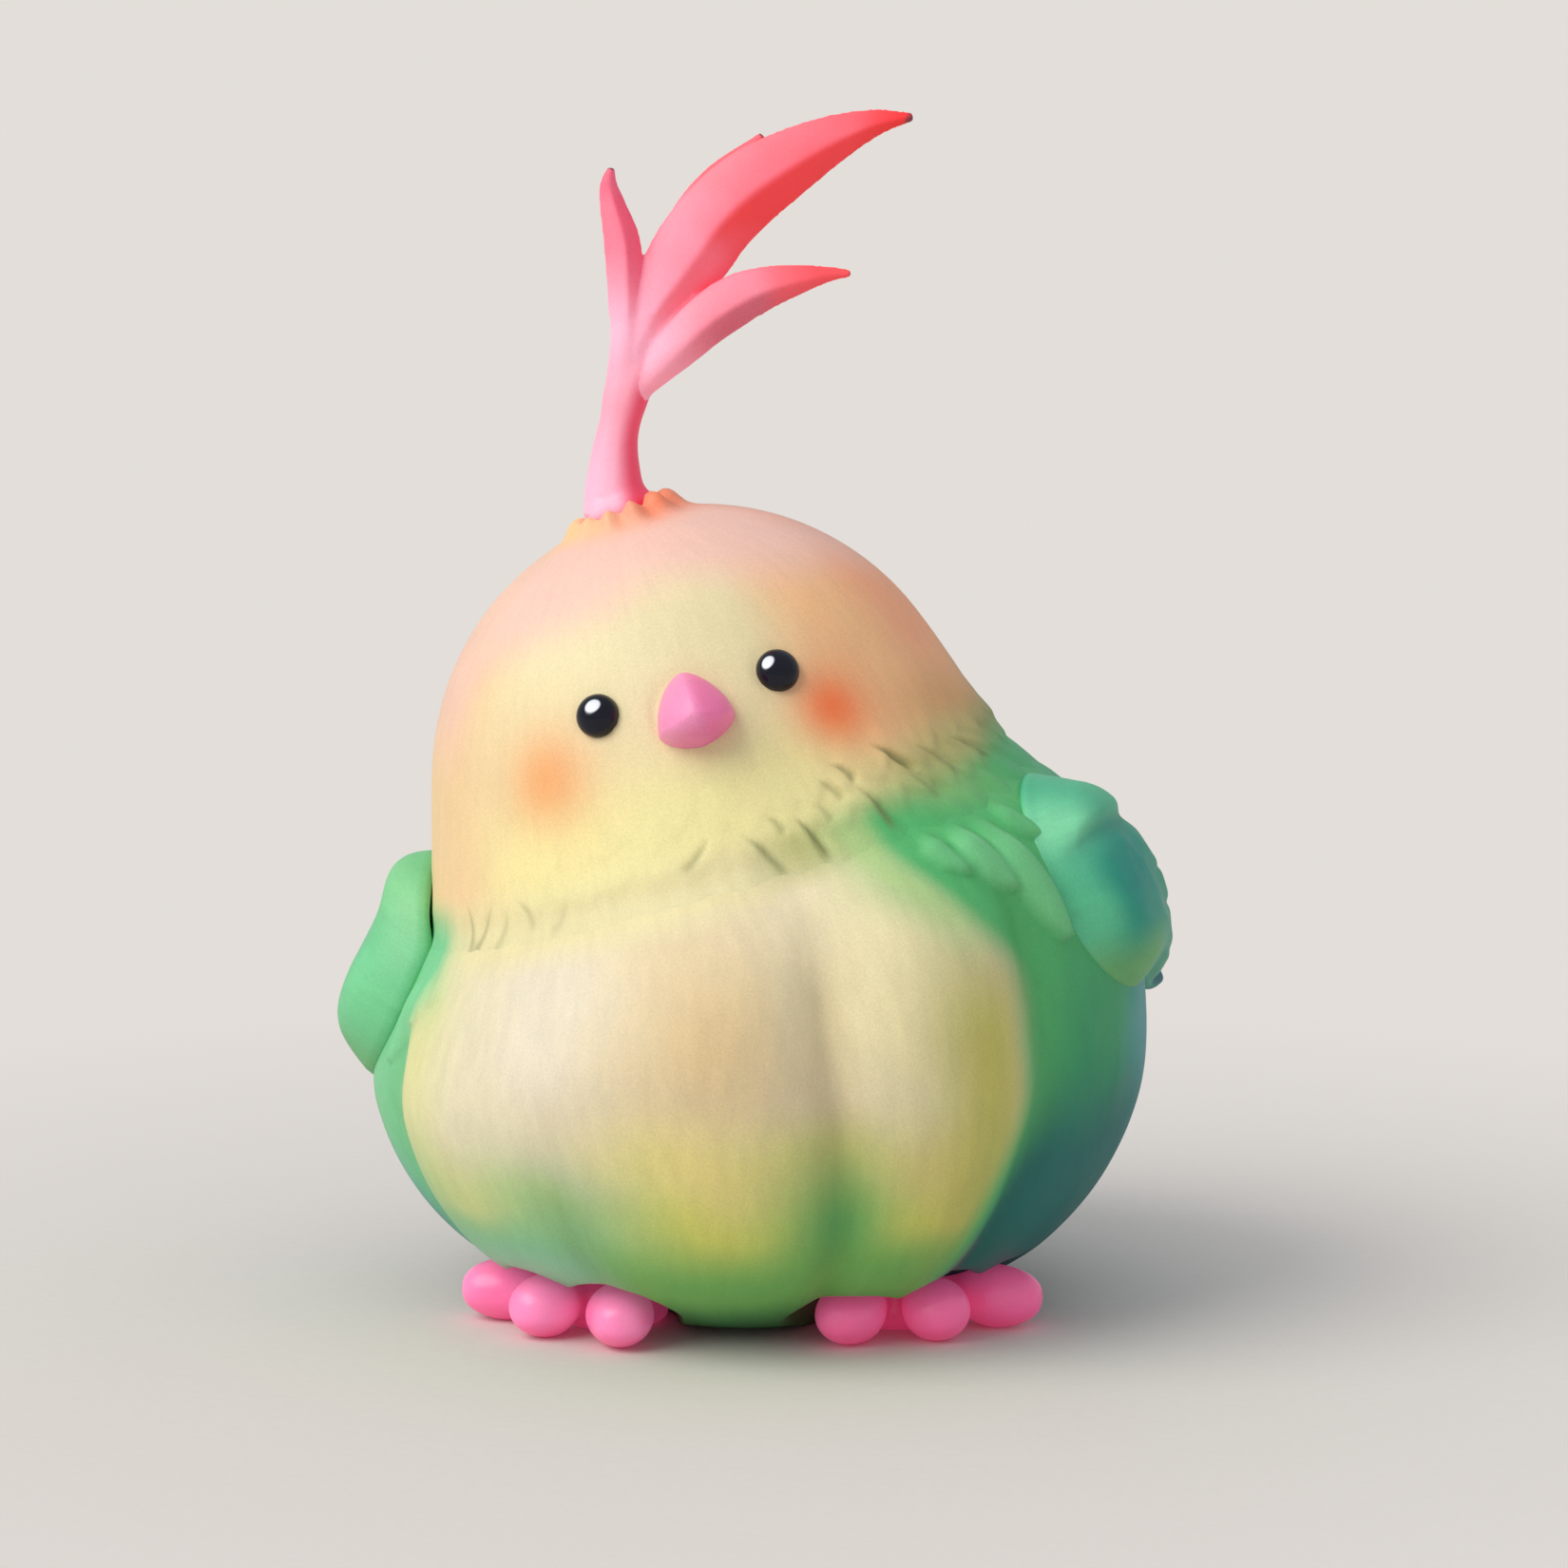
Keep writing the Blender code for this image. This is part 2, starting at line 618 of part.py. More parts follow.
# Each blade's spine is drawn upright from the middle of the seat, in millimetres: its place across
# the lean, along the lean's hinge and up, then the blade's width and its thickness there.
STEM_SPINE = ((-0.5, 0.0, 1.7, 5.8, 5.6), (-0.8, 0.0, 3.4, 5.6, 5.2), (-0.9, 0.0, 6.6, 4.7, 4.6),
              (-0.4, 0.0, 10.0, 5.0, 4.2), (0.6, 0.0, 13.4, 5.0, 3.8), (1.6, 0.0, 15.8, 1.6, 1.2))
GREAT_BLADE = ((0.3, 0.0, 11.0, 2.6, 2.2), (2.4, 0.0, 17.4, 5.8, 3.8), (4.9, 0.0, 22.2, 6.8, 3.8),
               (7.6, 0.0, 25.9, 7.4, 3.7), (10.9, 0.0, 29.5, 7.4, 3.5), (15.0, 0.0, 33.0, 6.6, 3.0),
               (19.6, 0.0, 35.5, 4.6, 2.2), (23.6, 0.0, 36.9, 2.6, 1.4), (27.2, 0.0, 37.4, 0.6, 0.6))
BACK_BLADE = ((3.2, -1.2, 20.5, 1.6, 1.4), (5.2, -1.8, 26.2, 3.8, 2.4), (8.4, -2.2, 31.0, 3.2, 2.2),
              (13.2, -2.2, 35.6, 0.6, 0.6))
INNER_BLADE = ((-0.3, 0.4, 11.0, 2.4, 2.0), (-0.2, 0.4, 16.4, 3.4, 2.8), (0.0, 0.4, 21.4, 3.6, 2.6),
               (-0.2, 0.4, 25.8, 3.6, 2.2), (-0.9, 0.4, 29.2, 2.4, 1.6), (-1.2, 0.4, 32.7, 0.6, 0.6))
OUTER_BLADE = ((0.8, 0.8, 9.0, 2.6, 2.2), (3.8, 1.2, 14.0, 4.0, 2.8), (6.8, 1.4, 17.2, 4.4, 2.7),
               (10.0, 1.4, 19.6, 4.3, 2.5), (13.6, 1.4, 21.4, 3.6, 2.1), (17.6, 1.4, 22.5, 2.3, 1.5),
               (21.4, 1.4, 22.9, 0.6, 0.6))


def blade_rows(spine):
    """Catmull-Rom stations along a spine of (across, forward, up, width, thickness)."""
    ends = [spine[0], *spine, spine[-1]]
    rows = []
    for index in range(len(spine) - 1):
        a, b, c, d = ends[index:index + 4]
        for step in range(BLADE_STEPS):
            t = step / BLADE_STEPS
            row = []
            for before, start, end, after in zip(a, b, c, d):
                cubic = 2 * start + (end - before) * t
                cubic += (2 * before - 5 * start + 4 * end - after) * t * t
                cubic += (3 * start - before - 3 * end + after) * t**3
                row.append(0.5 * cubic * MM)
            rows.append(row)
    rows.append([value * MM for value in spine[-1]])
    return rows


def blade_shape(spine, across, forward):
    """A blade of soft sections set square to its spine."""
    up = Vector((0.0, 0.0, 1.0))
    rows = blade_rows(spine)
    centres = [across * x + forward * y + up * z for x, y, z, _, _ in rows]
    rings = []
    for index, (_, _, _, width, thickness) in enumerate(rows):
        before = centres[max(index - 1, 0)]
        after = centres[min(index + 1, len(rows) - 1)]
        tangent = (after - before).normalized()
        wide = forward.cross(tangent).normalized()
        deep = tangent.cross(wide)
        ring = []
        for angle in circle(BLADE_CORNERS):
            side = wide * (width / 2 * math.cos(angle))
            ring.append(centres[index] + side + deep * (thickness / 2 * math.sin(angle)))
        rings.append(ring)
    return skin(rings)


def make_crest(finish, pin_finish):
    frame = Matrix.Translation(HEAD_PIVOT) @ HEAD_TURN @ Matrix.Translation((0.0, 0.0, SEAT_HEIGHT))
    axis = placement("crest_axis", frame)
    turn_back = HEAD_TURN.inverted()
    profile = [(0.0, GLUE_GAP), (CREST_FOOT_RADIUS, GLUE_GAP), (CREST_FOOT_RADIUS, CREST_FOOT_EDGE)]
    profile += [(CREST_FOOT_WAIST, CREST_FOOT_TOP), (0.0, CREST_FOOT_TOP)]
    crest = add("crest", turned(profile, LARGE_ROUND_SEGMENTS), finish, axis)
    blades = {"stem": STEM_SPINE, "great": GREAT_BLADE, "back": BACK_BLADE, "inner": INNER_BLADE,
              "outer": OUTER_BLADE}
    for name, spine in blades.items():
        blade = blade_shape(spine, -LEAN_DIRECTION, LEAN_HINGE)
        combine(crest, f"{name}_blade", blade, "UNION", turn_back)
    combine(crest, "crest_socket", plug(CREST_PIN_RADIUS + GLUE_GAP, *CREST_SOCKET), "DIFFERENCE")
    add("crest_pin", pin_shape(CREST_PIN_RADIUS, CREST_PIN_TOP, -HEAD_WALL), pin_finish, axis)


# ---------------------------------------------------------------- pins, wings and feet

def pin_shape(radius, top, wall_inside):
    """A shank from top down through a wall, and a barb below the wall's inner face."""
    barb = wall_inside - CLEARANCE - BARB_SLACK
    wide = radius + BARB_OVERHANG
    profile = [(0.0, top), (radius, top), (radius, barb), (wide, barb), (wide, barb - BARB_EDGE)]
    profile += [(radius * BARB_TIP, barb - BARB_LENGTH), (0.0, barb - BARB_LENGTH)]
    return turned(profile, SMALL_ROUND_SEGMENTS)


def wing_outline(angle):
    """The wing's reach from the middle of its shoulder, measured from towards-the-tail to up."""
    away = (angle - WING_TIP_ANGLE + math.pi) % CIRCLE - math.pi
    narrow = math.cos(min(abs(away) * WING_TIP_TIGHTNESS, math.pi / 2))
    return WING_SHOULDER + WING_TIP_REACH * narrow**WING_TIP_POWER


def under_wing(skins, frame, side, back, up):
    """The wing's inner face at a point: clear of all that the point passes over in its swing."""
    outward = frame.col[2].to_3d()
    highest = -math.inf
    for swing in WING_SWINGS:
        x = back * math.cos(swing) - up * math.sin(swing)
        y = back * math.sin(swing) + up * math.cos(swing)
        start = frame @ Vector((x, side * y, OUTSIDE))
        for tree in skins:
            hit = tree.ray_cast(start, -outward)[0]
            if hit:
                highest = max(highest, (hit - frame.translation).dot(outward))
    return highest + WING_CLEARANCE + (WING_STANDOFF_RIGHT if side < 0 else 0.0)


def wing_shape(skins, frame, side):
    """A polar sheet about the middle of the shoulder, its inner face following the skin below."""
    outer, inner = [], []
    for reach in WING_RINGS:
        top, under = [], []
        for angle in circle(WING_SEGMENTS) if reach else [0.0]:
            length = reach * wing_outline(angle)
            back = length * math.cos(angle)
            up = WING_RISE + length * math.sin(angle)
            low = under_wing(skins, frame, side, back, up)
            swell = math.sqrt(1.0 - reach**WING_EDGE_POWER)
            thickness = WING_EDGE + (WING_THICKNESS - WING_EDGE) * swell
            under.append(Vector((back, side * up, low)))
            top.append(Vector((back, side * up, low + thickness)))
        outer.append(top)
        inner.append(under)
    return skin(outer + inner[::-1])


def make_wings(finish, pin_finish):
    head_outside = turned(head_profile(CREST_PIN_RADIUS), HEAD_SEGMENTS, closed=True)
    head_outside.transform(Matrix.Translation(HEAD_PIVOT) @ HEAD_TURN)
    skins = [BVHTree.FromBMesh(body_shape()), BVHTree.FromBMesh(head_outside)]
    for side, name in ((1, "left"), (-1, "right")):
        frame = wing_frame(side)
        axis = placement(f"wing_axis_{name}", frame)
        wing = add(f"wing_{name}", wing_shape(skins, frame, side), finish, axis)
        socket_end = under_wing(skins, frame, side, 0.0, 0.0) + WING_SOCKET
        socket = plug(PIN_RADIUS + GLUE_GAP, WING_SOCKET_START, socket_end)
        combine(wing, f"wing_socket_{name}", socket, "DIFFERENCE")
        pin = pin_shape(PIN_RADIUS, socket_end - GLUE_GAP, -BODY_WALL - WING_PIN_SLACK)
        add(f"wing_pin_{name}", pin, pin_finish, axis)


def toe_shape(turn, length):
    """A bean that rests on the floor, thickest at its ball."""
    sizes = []
    for share in spread(0.0, 1.0, TOE_SHAFT_RINGS):
        sizes.append((share * length, TOE_ROOT + (1.0 - TOE_ROOT) * share**2))
    for angle in spread(0.0, TOE_END, TOE_BALL_RINGS)[1:]:
        sizes.append((length + TOE_RADIUS * math.sin(angle), math.cos(angle)))
    rings = []
    for along, size in sizes:
        middle = TOE_SINK * (size if along <= length else 1.0)
        ring = []
        for angle in circle(TOE_SEGMENTS):
            height = TOE_RADIUS * TOE_SQUASH * (middle + size * math.sin(angle))
            ring.append(Vector((along, TOE_RADIUS * size * math.cos(angle), max(height, 0.0))))
        rings.append(ring)
    shape = skin(rings)
    shape.transform(Matrix.Rotation(turn, 4, "Z"))
    return shape


def pad_shape():
    """A low drum with a chamfer round its sole and round its top."""
    sole_in, sole_up = PAD_SOLE_CHAMFER
    profile = [(0.0, 0.0), (PAD_RADIUS - sole_in, 0.0), (PAD_RADIUS, sole_up)]
    profile += [(PAD_RADIUS, PAD_HEIGHT - PAD_TOP_CHAMFER), (PAD_RADIUS - PAD_TOP_CHAMFER, PAD_HEIGHT)]
    profile += [(0.0, PAD_HEIGHT)]
    return turned(profile, LARGE_ROUND_SEGMENTS)


def make_feet(finish, pin_finish):
    for side, name in ((1, "left"), (-1, "right")):
        axis = placement(f"foot_axis_{name}", foot_frame(side))
        foot = add(f"foot_{name}", pad_shape(), finish, axis)
        for number, (turn, length) in enumerate(toes()):
            combine(foot, f"toe_{name}_{number}", toe_shape(turn, length), "UNION")
        socket = plug(FOOT_PIN_RADIUS + GLUE_GAP, FOOT_SOCKET, FOOT_ROOM)
        combine(foot, f"foot_socket_{name}", socket, "DIFFERENCE")
        pin = pin_shape(FOOT_PIN_RADIUS, -FOOT_SOCKET - GLUE_GAP, -FOOT_ROOM - BODY_WALL)
        pin.transform(Matrix.Rotation(math.pi, 4, "X"))
        add(f"foot_pin_{name}", pin, pin_finish, axis)


def build():
    clear_scene()
    finishes = {
        "body": material("vinyl_cream", (0.87, 0.80, 0.55), 0.5),
        "head": material("vinyl_peach", (0.88, 0.72, 0.50), 0.5),
        "crest": material("vinyl_coral", (0.93, 0.25, 0.33), 0.45),
        "beak": material("vinyl_orchid", (0.86, 0.32, 0.62), 0.5),
        "eye": material("gloss_navy", (0.01, 0.015, 0.03), 0.08),
        "wing": material("vinyl_green", (0.12, 0.58, 0.40), 0.5),
        "foot": material("vinyl_pink", (0.90, 0.22, 0.48), 0.35),
        "tail": material("vinyl_teal", (0.05, 0.42, 0.42), 0.5),
        "pin": material("abs_white", (0.80, 0.80, 0.78), 0.4),
    }
    make_body(finishes["body"])
    make_head(finishes)
    make_crest(finishes["crest"], finishes["pin"])
    make_wings(finishes["wing"], finishes["pin"])
    make_feet(finishes["foot"], finishes["pin"])
    make_tail(finishes["tail"])


build()
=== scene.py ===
"""The looks of a vinyl art toy, a round bird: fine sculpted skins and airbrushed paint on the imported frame.

Everything here is drawn in millimetres and degrees and becomes metres when a mesh is made. +Z is up,
the breast faces -Y and the bird's left is +X. An azimuth turns from -Y towards +X. A polar angle turns
away from the leaning axis of the joint head_swivel.
"""

import json
import math

import bmesh
import bpy
import numpy as np
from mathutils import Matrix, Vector
from mathutils.bvhtree import BVHTree


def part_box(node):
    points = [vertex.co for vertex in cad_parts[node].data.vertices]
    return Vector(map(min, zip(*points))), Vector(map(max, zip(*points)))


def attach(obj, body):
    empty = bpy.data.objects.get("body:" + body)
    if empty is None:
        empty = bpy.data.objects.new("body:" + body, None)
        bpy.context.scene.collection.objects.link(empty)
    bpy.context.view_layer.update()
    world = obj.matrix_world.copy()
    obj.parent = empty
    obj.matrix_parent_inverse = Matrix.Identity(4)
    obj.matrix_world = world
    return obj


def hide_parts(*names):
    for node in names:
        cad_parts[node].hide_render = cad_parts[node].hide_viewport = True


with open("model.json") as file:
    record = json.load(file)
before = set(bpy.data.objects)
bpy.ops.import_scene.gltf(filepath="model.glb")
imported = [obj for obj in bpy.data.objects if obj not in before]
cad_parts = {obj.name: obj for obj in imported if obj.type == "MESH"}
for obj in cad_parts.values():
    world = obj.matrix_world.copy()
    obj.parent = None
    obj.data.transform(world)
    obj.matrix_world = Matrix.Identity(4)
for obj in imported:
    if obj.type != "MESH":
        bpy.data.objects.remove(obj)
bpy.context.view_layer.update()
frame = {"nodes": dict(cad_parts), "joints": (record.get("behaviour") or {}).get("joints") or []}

MM = 0.001
CIRCLE = 2.0 * math.pi
SIDEWAYS = np.array([1.0, 0.0, 0.0])
BACKWARD = np.array([0.0, 1.0, 0.0])
UP = np.array([0.0, 0.0, 1.0])
LEVEL = np.array([1.0, 1.0, 0.0])
JOINTS = {joint["name"]: joint for joint in frame["joints"]}


def joint_place(name):
    return np.array(JOINTS[name]["pos_m"]) / MM


def joint_axis(name):
    return np.array(JOINTS[name]["axis"])


def unit(vector):
    return vector / np.linalg.norm(vector)


# The lean: the head turns about an axis that leans over the bird's right side.
HEAD_PIVOT = joint_place("head_swivel")
HEAD_AXIS = joint_axis("head_swivel")
LEAN = math.degrees(math.acos(HEAD_AXIS[2]))
LEAN_DIRECTION = unit(HEAD_AXIS * LEVEL)
LEAN_HINGE = np.cross(UP, LEAN_DIRECTION)
LEAN_SHIFT = float(np.linalg.norm(HEAD_PIVOT[:2]))
CREST_SEAT = joint_place("crest_swivel")

# The body, and the hole in its top that the neck goes through.
BODY_CENTRE = HEAD_PIVOT * UP
BODY_RADIUS = 37.5
BODY_UP = 28.0
BODY_DOWN = 28.0
BODY_WALL = 2.2
NECK_HOLE = 11.4


# ---------------------------------------------------------------- numbers and noise

HASH_STRIDES = np.array([73856093, 19349663, 83492791])
HASH_SEED = 40503
HASH_FACTOR = 1274126177
LOW_32_BITS = 0xFFFFFFFF
LOW_16_BITS = 0xFFFF


def linear(value, low, high):
    return np.clip((value - low) / (high - low), 0.0, 1.0)


def ramp(value, low, high):
    """Eases from 0 at low to 1 at high. Low may be the larger of the two."""
    share = linear(value, low, high)
    return share * share * (3.0 - 2.0 * share)


def bell(value, middle, width):
    return np.exp(-(((value - middle) / width) ** 2))


def dip(value, middle, width):
    return 1.0 - bell(value, middle, width)


def turn_between(azimuth, other):
    """The turn from one azimuth to another, from -180 to 180."""
    return np.mod(azimuth - other + 180.0, 360.0) - 180.0


def noise(points, cell, seed):
    """Smooth noise from -1 to 1, over cells of a size in the points' own unit."""
    scaled = points / cell + 1000.0
    base = np.floor(scaled).astype(np.int64)
    share = scaled - base
    share = share * share * (3.0 - 2.0 * share)
    total = np.zeros(scaled.shape[:-1])
    for corner in np.ndindex(2, 2, 2):
        weight = np.prod(np.where(np.array(corner, bool), share, 1.0 - share), axis=-1)
        mixed = (base + np.array(corner)) @ HASH_STRIDES + seed * HASH_SEED
        mixed = (mixed ^ (mixed >> 13)) & LOW_32_BITS
        mixed = (mixed * HASH_FACTOR) & LOW_32_BITS
        mixed = mixed ^ (mixed >> 16)
        total += weight * ((mixed & LOW_16_BITS) / (LOW_16_BITS / 2) - 1.0)
    return total


def around(azimuth, along, radius=30.0):
    """Places for noise that has no seam round an azimuth."""
    turn, along = np.broadcast_arrays(np.radians(azimuth), along)
    return np.stack([radius * np.sin(turn), radius * np.cos(turn), along], axis=-1)


def along_line(x, y, line_x, line_y):
    """How far places are along a line, as a share of it, and how far to one side of it."""
    length = math.hypot(line_x, line_y)
    return (x * line_x + y * line_y) / length**2, (x * line_y - y * line_x) / length


def direction(azimuth):
    turn = np.radians(azimuth)
    return np.stack([np.sin(turn), -np.cos(turn), 0.0 * turn], axis=-1)


def turned(points, axis, degrees):
    """Turns points about an axis through the origin, by one angle or by an angle for each point."""
    angle = np.radians(np.asarray(degrees, float))[..., None]
    along = (points @ axis)[..., None] * axis
    return points * np.cos(angle) + np.cross(axis, points) * np.sin(angle) + along * (1.0 - np.cos(angle))


def head_to_frame(points):
    return HEAD_PIVOT + turned(points, LEAN_HINGE, LEAN)


def circle(count):
    return np.linspace(0.0, CIRCLE, count, endpoint=False)


def signed_power(value, power):
    return np.sign(value) * np.abs(value) ** power


# ---------------------------------------------------------------- paint

def tone(code):
    """A colour such as #f0e4c8, as linear red, green and blue."""
    srgb = np.array([int(code[place:place + 2], 16) for place in (1, 3, 5)]) / 255.0
    return np.where(srgb <= 0.04045, srgb / 12.92, ((srgb + 0.055) / 1.055) ** 2.4)


def coated(shape, code):
    """Paint of one colour for points of a shape."""
    return np.zeros(shape) + tone(code)


def spray(paint, code, mask):
    """Airbrushes a colour over paint, as far as the mask says."""
    cover = np.clip(mask, 0.0, 1.0)[..., None]
    paint += (tone(code) - paint) * cover


def airbrush(paint, coats, measures, within=1.0):
    """Sprays coats in turn. A coat is a colour, its cover and its masks, which are multiplied.

    A mask is a function, the name of the measure that it reads, and the function's two numbers.
    """
    for code, cover, *masks in coats:
        mask = within * cover
        for shape, measure, first, second in masks:
            mask = mask * shape(measures[measure], first, second)
        spray(paint, code, mask)


# ---------------------------------------------------------------- meshes

def grid_faces(rows, columns, loop):
    """Quads between the rows of a skin. Each row closes on itself, and in a loop the rows do too."""
    row = np.arange(rows if loop else rows - 1)[:, None]
    column = np.arange(columns)[None, :]
    after_row = (row + 1) % rows
    after = (column + 1) % columns
    corners = [row * columns + column, row * columns + after, after_row * columns + after,
               after_row * columns + column]
    return np.stack(corners, axis=-1).reshape(-1, 4).tolist()


def fan_faces(rows, columns):
    """Covers the first and the last row with triangles to two points that follow the grid's own."""
    first, last = rows * columns, rows * columns + 1
    start = (rows - 1) * columns
    faces = []
    for column in range(columns):
        after = (column + 1) % columns
        faces.append([after, column, first])
        faces.append([start + column, start + after, last])
    return faces


def flat(grid, loop):
    """One row for each vertex of a skin, with the two middles that a skin that isn't a loop has."""
    rows = grid.reshape(-1, grid.shape[-1])
    if loop:
        return rows
    return np.vstack([rows, grid[0].mean(axis=0), grid[-1].mean(axis=0)])


def loft(rings):
    """Points and faces of a closed skin over rings that all have as many points."""
    grid = np.array(rings)
    rows, columns = grid.shape[:2]
    return flat(grid, False), grid_faces(rows, columns, False) + fan_faces(rows, columns)


def new_mesh(name, points, faces):
    mesh = bpy.data.meshes.new(name)
    mesh.from_pydata((points * MM).tolist(), [], faces)
    shape = bmesh.new()
    shape.from_mesh(mesh)
    inside_out = shape.calc_volume(signed=True) < 0.0
    shape.free()
    if inside_out:
        mesh.flip_normals()
    mesh.shade_smooth()
    return mesh


def add_object(name, data):
    added = bpy.data.objects.new(name, data)
    bpy.context.scene.collection.objects.link(added)
    return added


def add_piece(name, mesh, paint, grain, finish, body, node_name):
    """A piece with its paint and its grain's direction, that rides a body in a CAD node's place."""
    colours = mesh.attributes.new("paint", "FLOAT_COLOR", "POINT")
    rgba = np.hstack([paint, np.ones((len(paint), 1))]).astype(np.float32)
    colours.data.foreach_set("color", rgba.ravel())
    directions = mesh.attributes.new("grain", "FLOAT_VECTOR", "POINT")
    directions.data.foreach_set("vector", grain.astype(np.float32).ravel())
    mesh.materials.append(finish)
    piece = add_object(name, mesh)
    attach(piece, body)
    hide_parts(node_name)


def add_skin(name, points, paint, grain, finish, body, node_name, loop=False):
    rows, columns = points.shape[:2]
    faces = grid_faces(rows, columns, loop)
    if not loop:
        faces += fan_faces(rows, columns)
    mesh = new_mesh(name, flat(points, loop), faces)
    add_piece(name, mesh, flat(paint, loop), flat(grain, loop), finish, body, node_name)


def fused(name, parts, voxel, smoothing):
    """Melts overlapping closed skins into one fine skin. Returns its mesh and its points."""
    points, faces = [], []
    for part_points, part_faces in parts:
        start = sum(len(group) for group in points)
        faces += [[start + corner for corner in face] for face in part_faces]
        points.append(part_points)
    rough = add_object(name, new_mesh(name, np.vstack(points), faces))
    remesh = rough.modifiers.new("fuse", "REMESH")
    remesh.mode = "VOXEL"
    remesh.voxel_size = voxel * MM
    soften = rough.modifiers.new("soften", "SMOOTH")
    soften.factor = 0.5
    soften.iterations = smoothing
    evaluated = rough.evaluated_get(bpy.context.evaluated_depsgraph_get())
    mesh = bpy.data.meshes.new_from_object(evaluated)
    bpy.data.objects.remove(rough)
    mesh.shade_smooth()
    flat_points = np.empty(len(mesh.vertices) * 3)
    mesh.vertices.foreach_get("co", flat_points)
    return mesh, flat_points.reshape(-1, 3) / MM


def soften_between(mesh, low, high, times):
    """Smooths a mesh between two heights. Returns its points."""
    shape = bmesh.new()
    shape.from_mesh(mesh)
    between = [corner for corner in shape.verts if low < corner.co.z / MM < high]
    axes = {"use_axis_x": True, "use_axis_y": True, "use_axis_z": True}
    for _ in range(times):
        bmesh.ops.smooth_vert(shape, verts=between, factor=0.5, **axes)
    shape.to_mesh(mesh)
    points = np.array([corner.co for corner in shape.verts]) / MM
    shape.free()
    return points


# ---------------------------------------------------------------- finishes

def set_inputs(tree, made, inputs):
    """Sets a node's inputs, to values or to other nodes' outputs."""
    for name, value in inputs.items():
        if isinstance(value, bpy.types.NodeSocket):
            tree.links.new(value, made.inputs[name])
        else:
            made.inputs[name].default_value = value


def node(tree, kind, inputs=None, **settings):
    made = tree.nodes.new(kind)
    for name, value in settings.items():
        setattr(made, name, value)
    set_inputs(tree, made, inputs or {})
    return made


def new_finish(slot):
    """A material that remembers its slot, because Blender numbers a name that the CAD's material has."""
    finish = bpy.data.materials.new(slot)
    finish["slot"] = slot
    finish.use_nodes = True
    tree = finish.node_tree
    return finish, tree, tree.nodes["Principled BSDF"]


def attribute(tree, name):
    return node(tree, "ShaderNodeAttribute", attribute_name=name)


def own_place(tree):
    return node(tree, "ShaderNodeTexCoord").outputs["Object"]


def noise_node(tree, vector, scale, detail=2.0):
    inputs = {"Vector": vector, "Scale": scale, "Detail": detail}
    return node(tree, "ShaderNodeTexNoise", inputs).outputs["Fac"]


def remap(tree, value, low, high, to_low, to_high):
    inputs = {"Value": value, "From Min": low, "From Max": high, "To Min": to_low, "To Max": to_high}
    return node(tree, "ShaderNodeMapRange", inputs).outputs["Result"]


def bump(tree, height, distance, normal=None):
    inputs = {"Height": height, "Distance": distance * MM, "Strength": 1.0}
    if normal:
        inputs["Normal"] = normal
    return node(tree, "ShaderNodeBump", inputs).outputs["Normal"]


def scaled_colour(tree, colour, amount):
    """A colour times a grey amount."""
    mix = node(tree, "ShaderNodeMix", {"Factor": 1.0}, data_type="RGBA", blend_type="MULTIPLY")
    tree.links.new(colour, mix.inputs["A"])
    tree.links.new(amount, mix.inputs["B"])
    return mix.outputs["Result"]


def plain_colour(tree, red_green_blue):
    base = node(tree, "ShaderNodeRGB")
    base.outputs["Color"].default_value = (*red_green_blue, 1.0)
    return base.outputs["Color"]


def vinyl(name, roughness, streaks, coat=0.0, glow=0.0):
    """Painted vinyl: airbrush speckle, fine streaks along the grain, pores, an uneven sheen, and a painted
    glow in the paint's own colour that brightens the piece beyond its lamps.
    """
    finish, tree, shader = new_finish(name)
    paint = attribute(tree, "paint").outputs["Color"]
    grain = attribute(tree, "grain").outputs["Vector"]
    place = own_place(tree)
    streak = noise_node(tree, grain, 0.9, 3.0)
    fleck = noise_node(tree, place, 5200.0, 1.0)
    cloud = noise_node(tree, place, 160.0, 3.0)
    pore = noise_node(tree, place, 3000.0, 2.0)
    colour = scaled_colour(tree, paint, remap(tree, streak, 0.25, 0.75, 1.0 - streaks, 1.0 + streaks))
    colour = scaled_colour(tree, colour, remap(tree, fleck, 0.3, 0.7, 0.95, 1.05))
    colour = scaled_colour(tree, colour, remap(tree, cloud, 0.2, 0.8, 0.97, 1.03))
    set_inputs(tree, shader, {
        "Base Color": colour,
        # painted light: the emission lets the piece glow in its own paint colour
        "Emission Color": colour,
        "Emission Strength": glow,
        "Roughness": remap(tree, cloud, 0.3, 0.7, roughness - 0.05, roughness + 0.07),
        "Normal": bump(tree, pore, 0.012, bump(tree, streak, 0.5 * streaks)),
        "Subsurface Weight": 0.12,
        "Subsurface Radius": (1.0, 0.6, 0.4),
        "Subsurface Scale": 1.5 * MM,
        "Coat Weight": coat,
        "Coat Roughness": 0.25,
    })
    return finish


# The eyes carry a painted highlight: they glow where they would mirror a round softbox that the scene lacks,
# placed from the camera's azimuth. Its size is a half angle.
PAINTED_GLINT_AZIMUTH = -62.0
PAINTED_GLINT_ELEVATION = 52.0
PAINTED_GLINT_SIZE = 30.0
PAINTED_GLINT_EDGE = (5.0, 3.0)


def from_camera(azimuth, elevation):
    """The direction towards a place round the toy, its azimuth measured from the camera's."""
    turn = math.radians(CAMERA_AZIMUTH + azimuth)
    lift = math.radians(elevation)
    return np.array([math.sin(turn) * math.cos(lift), -math.cos(turn) * math.cos(lift), math.sin(lift)])


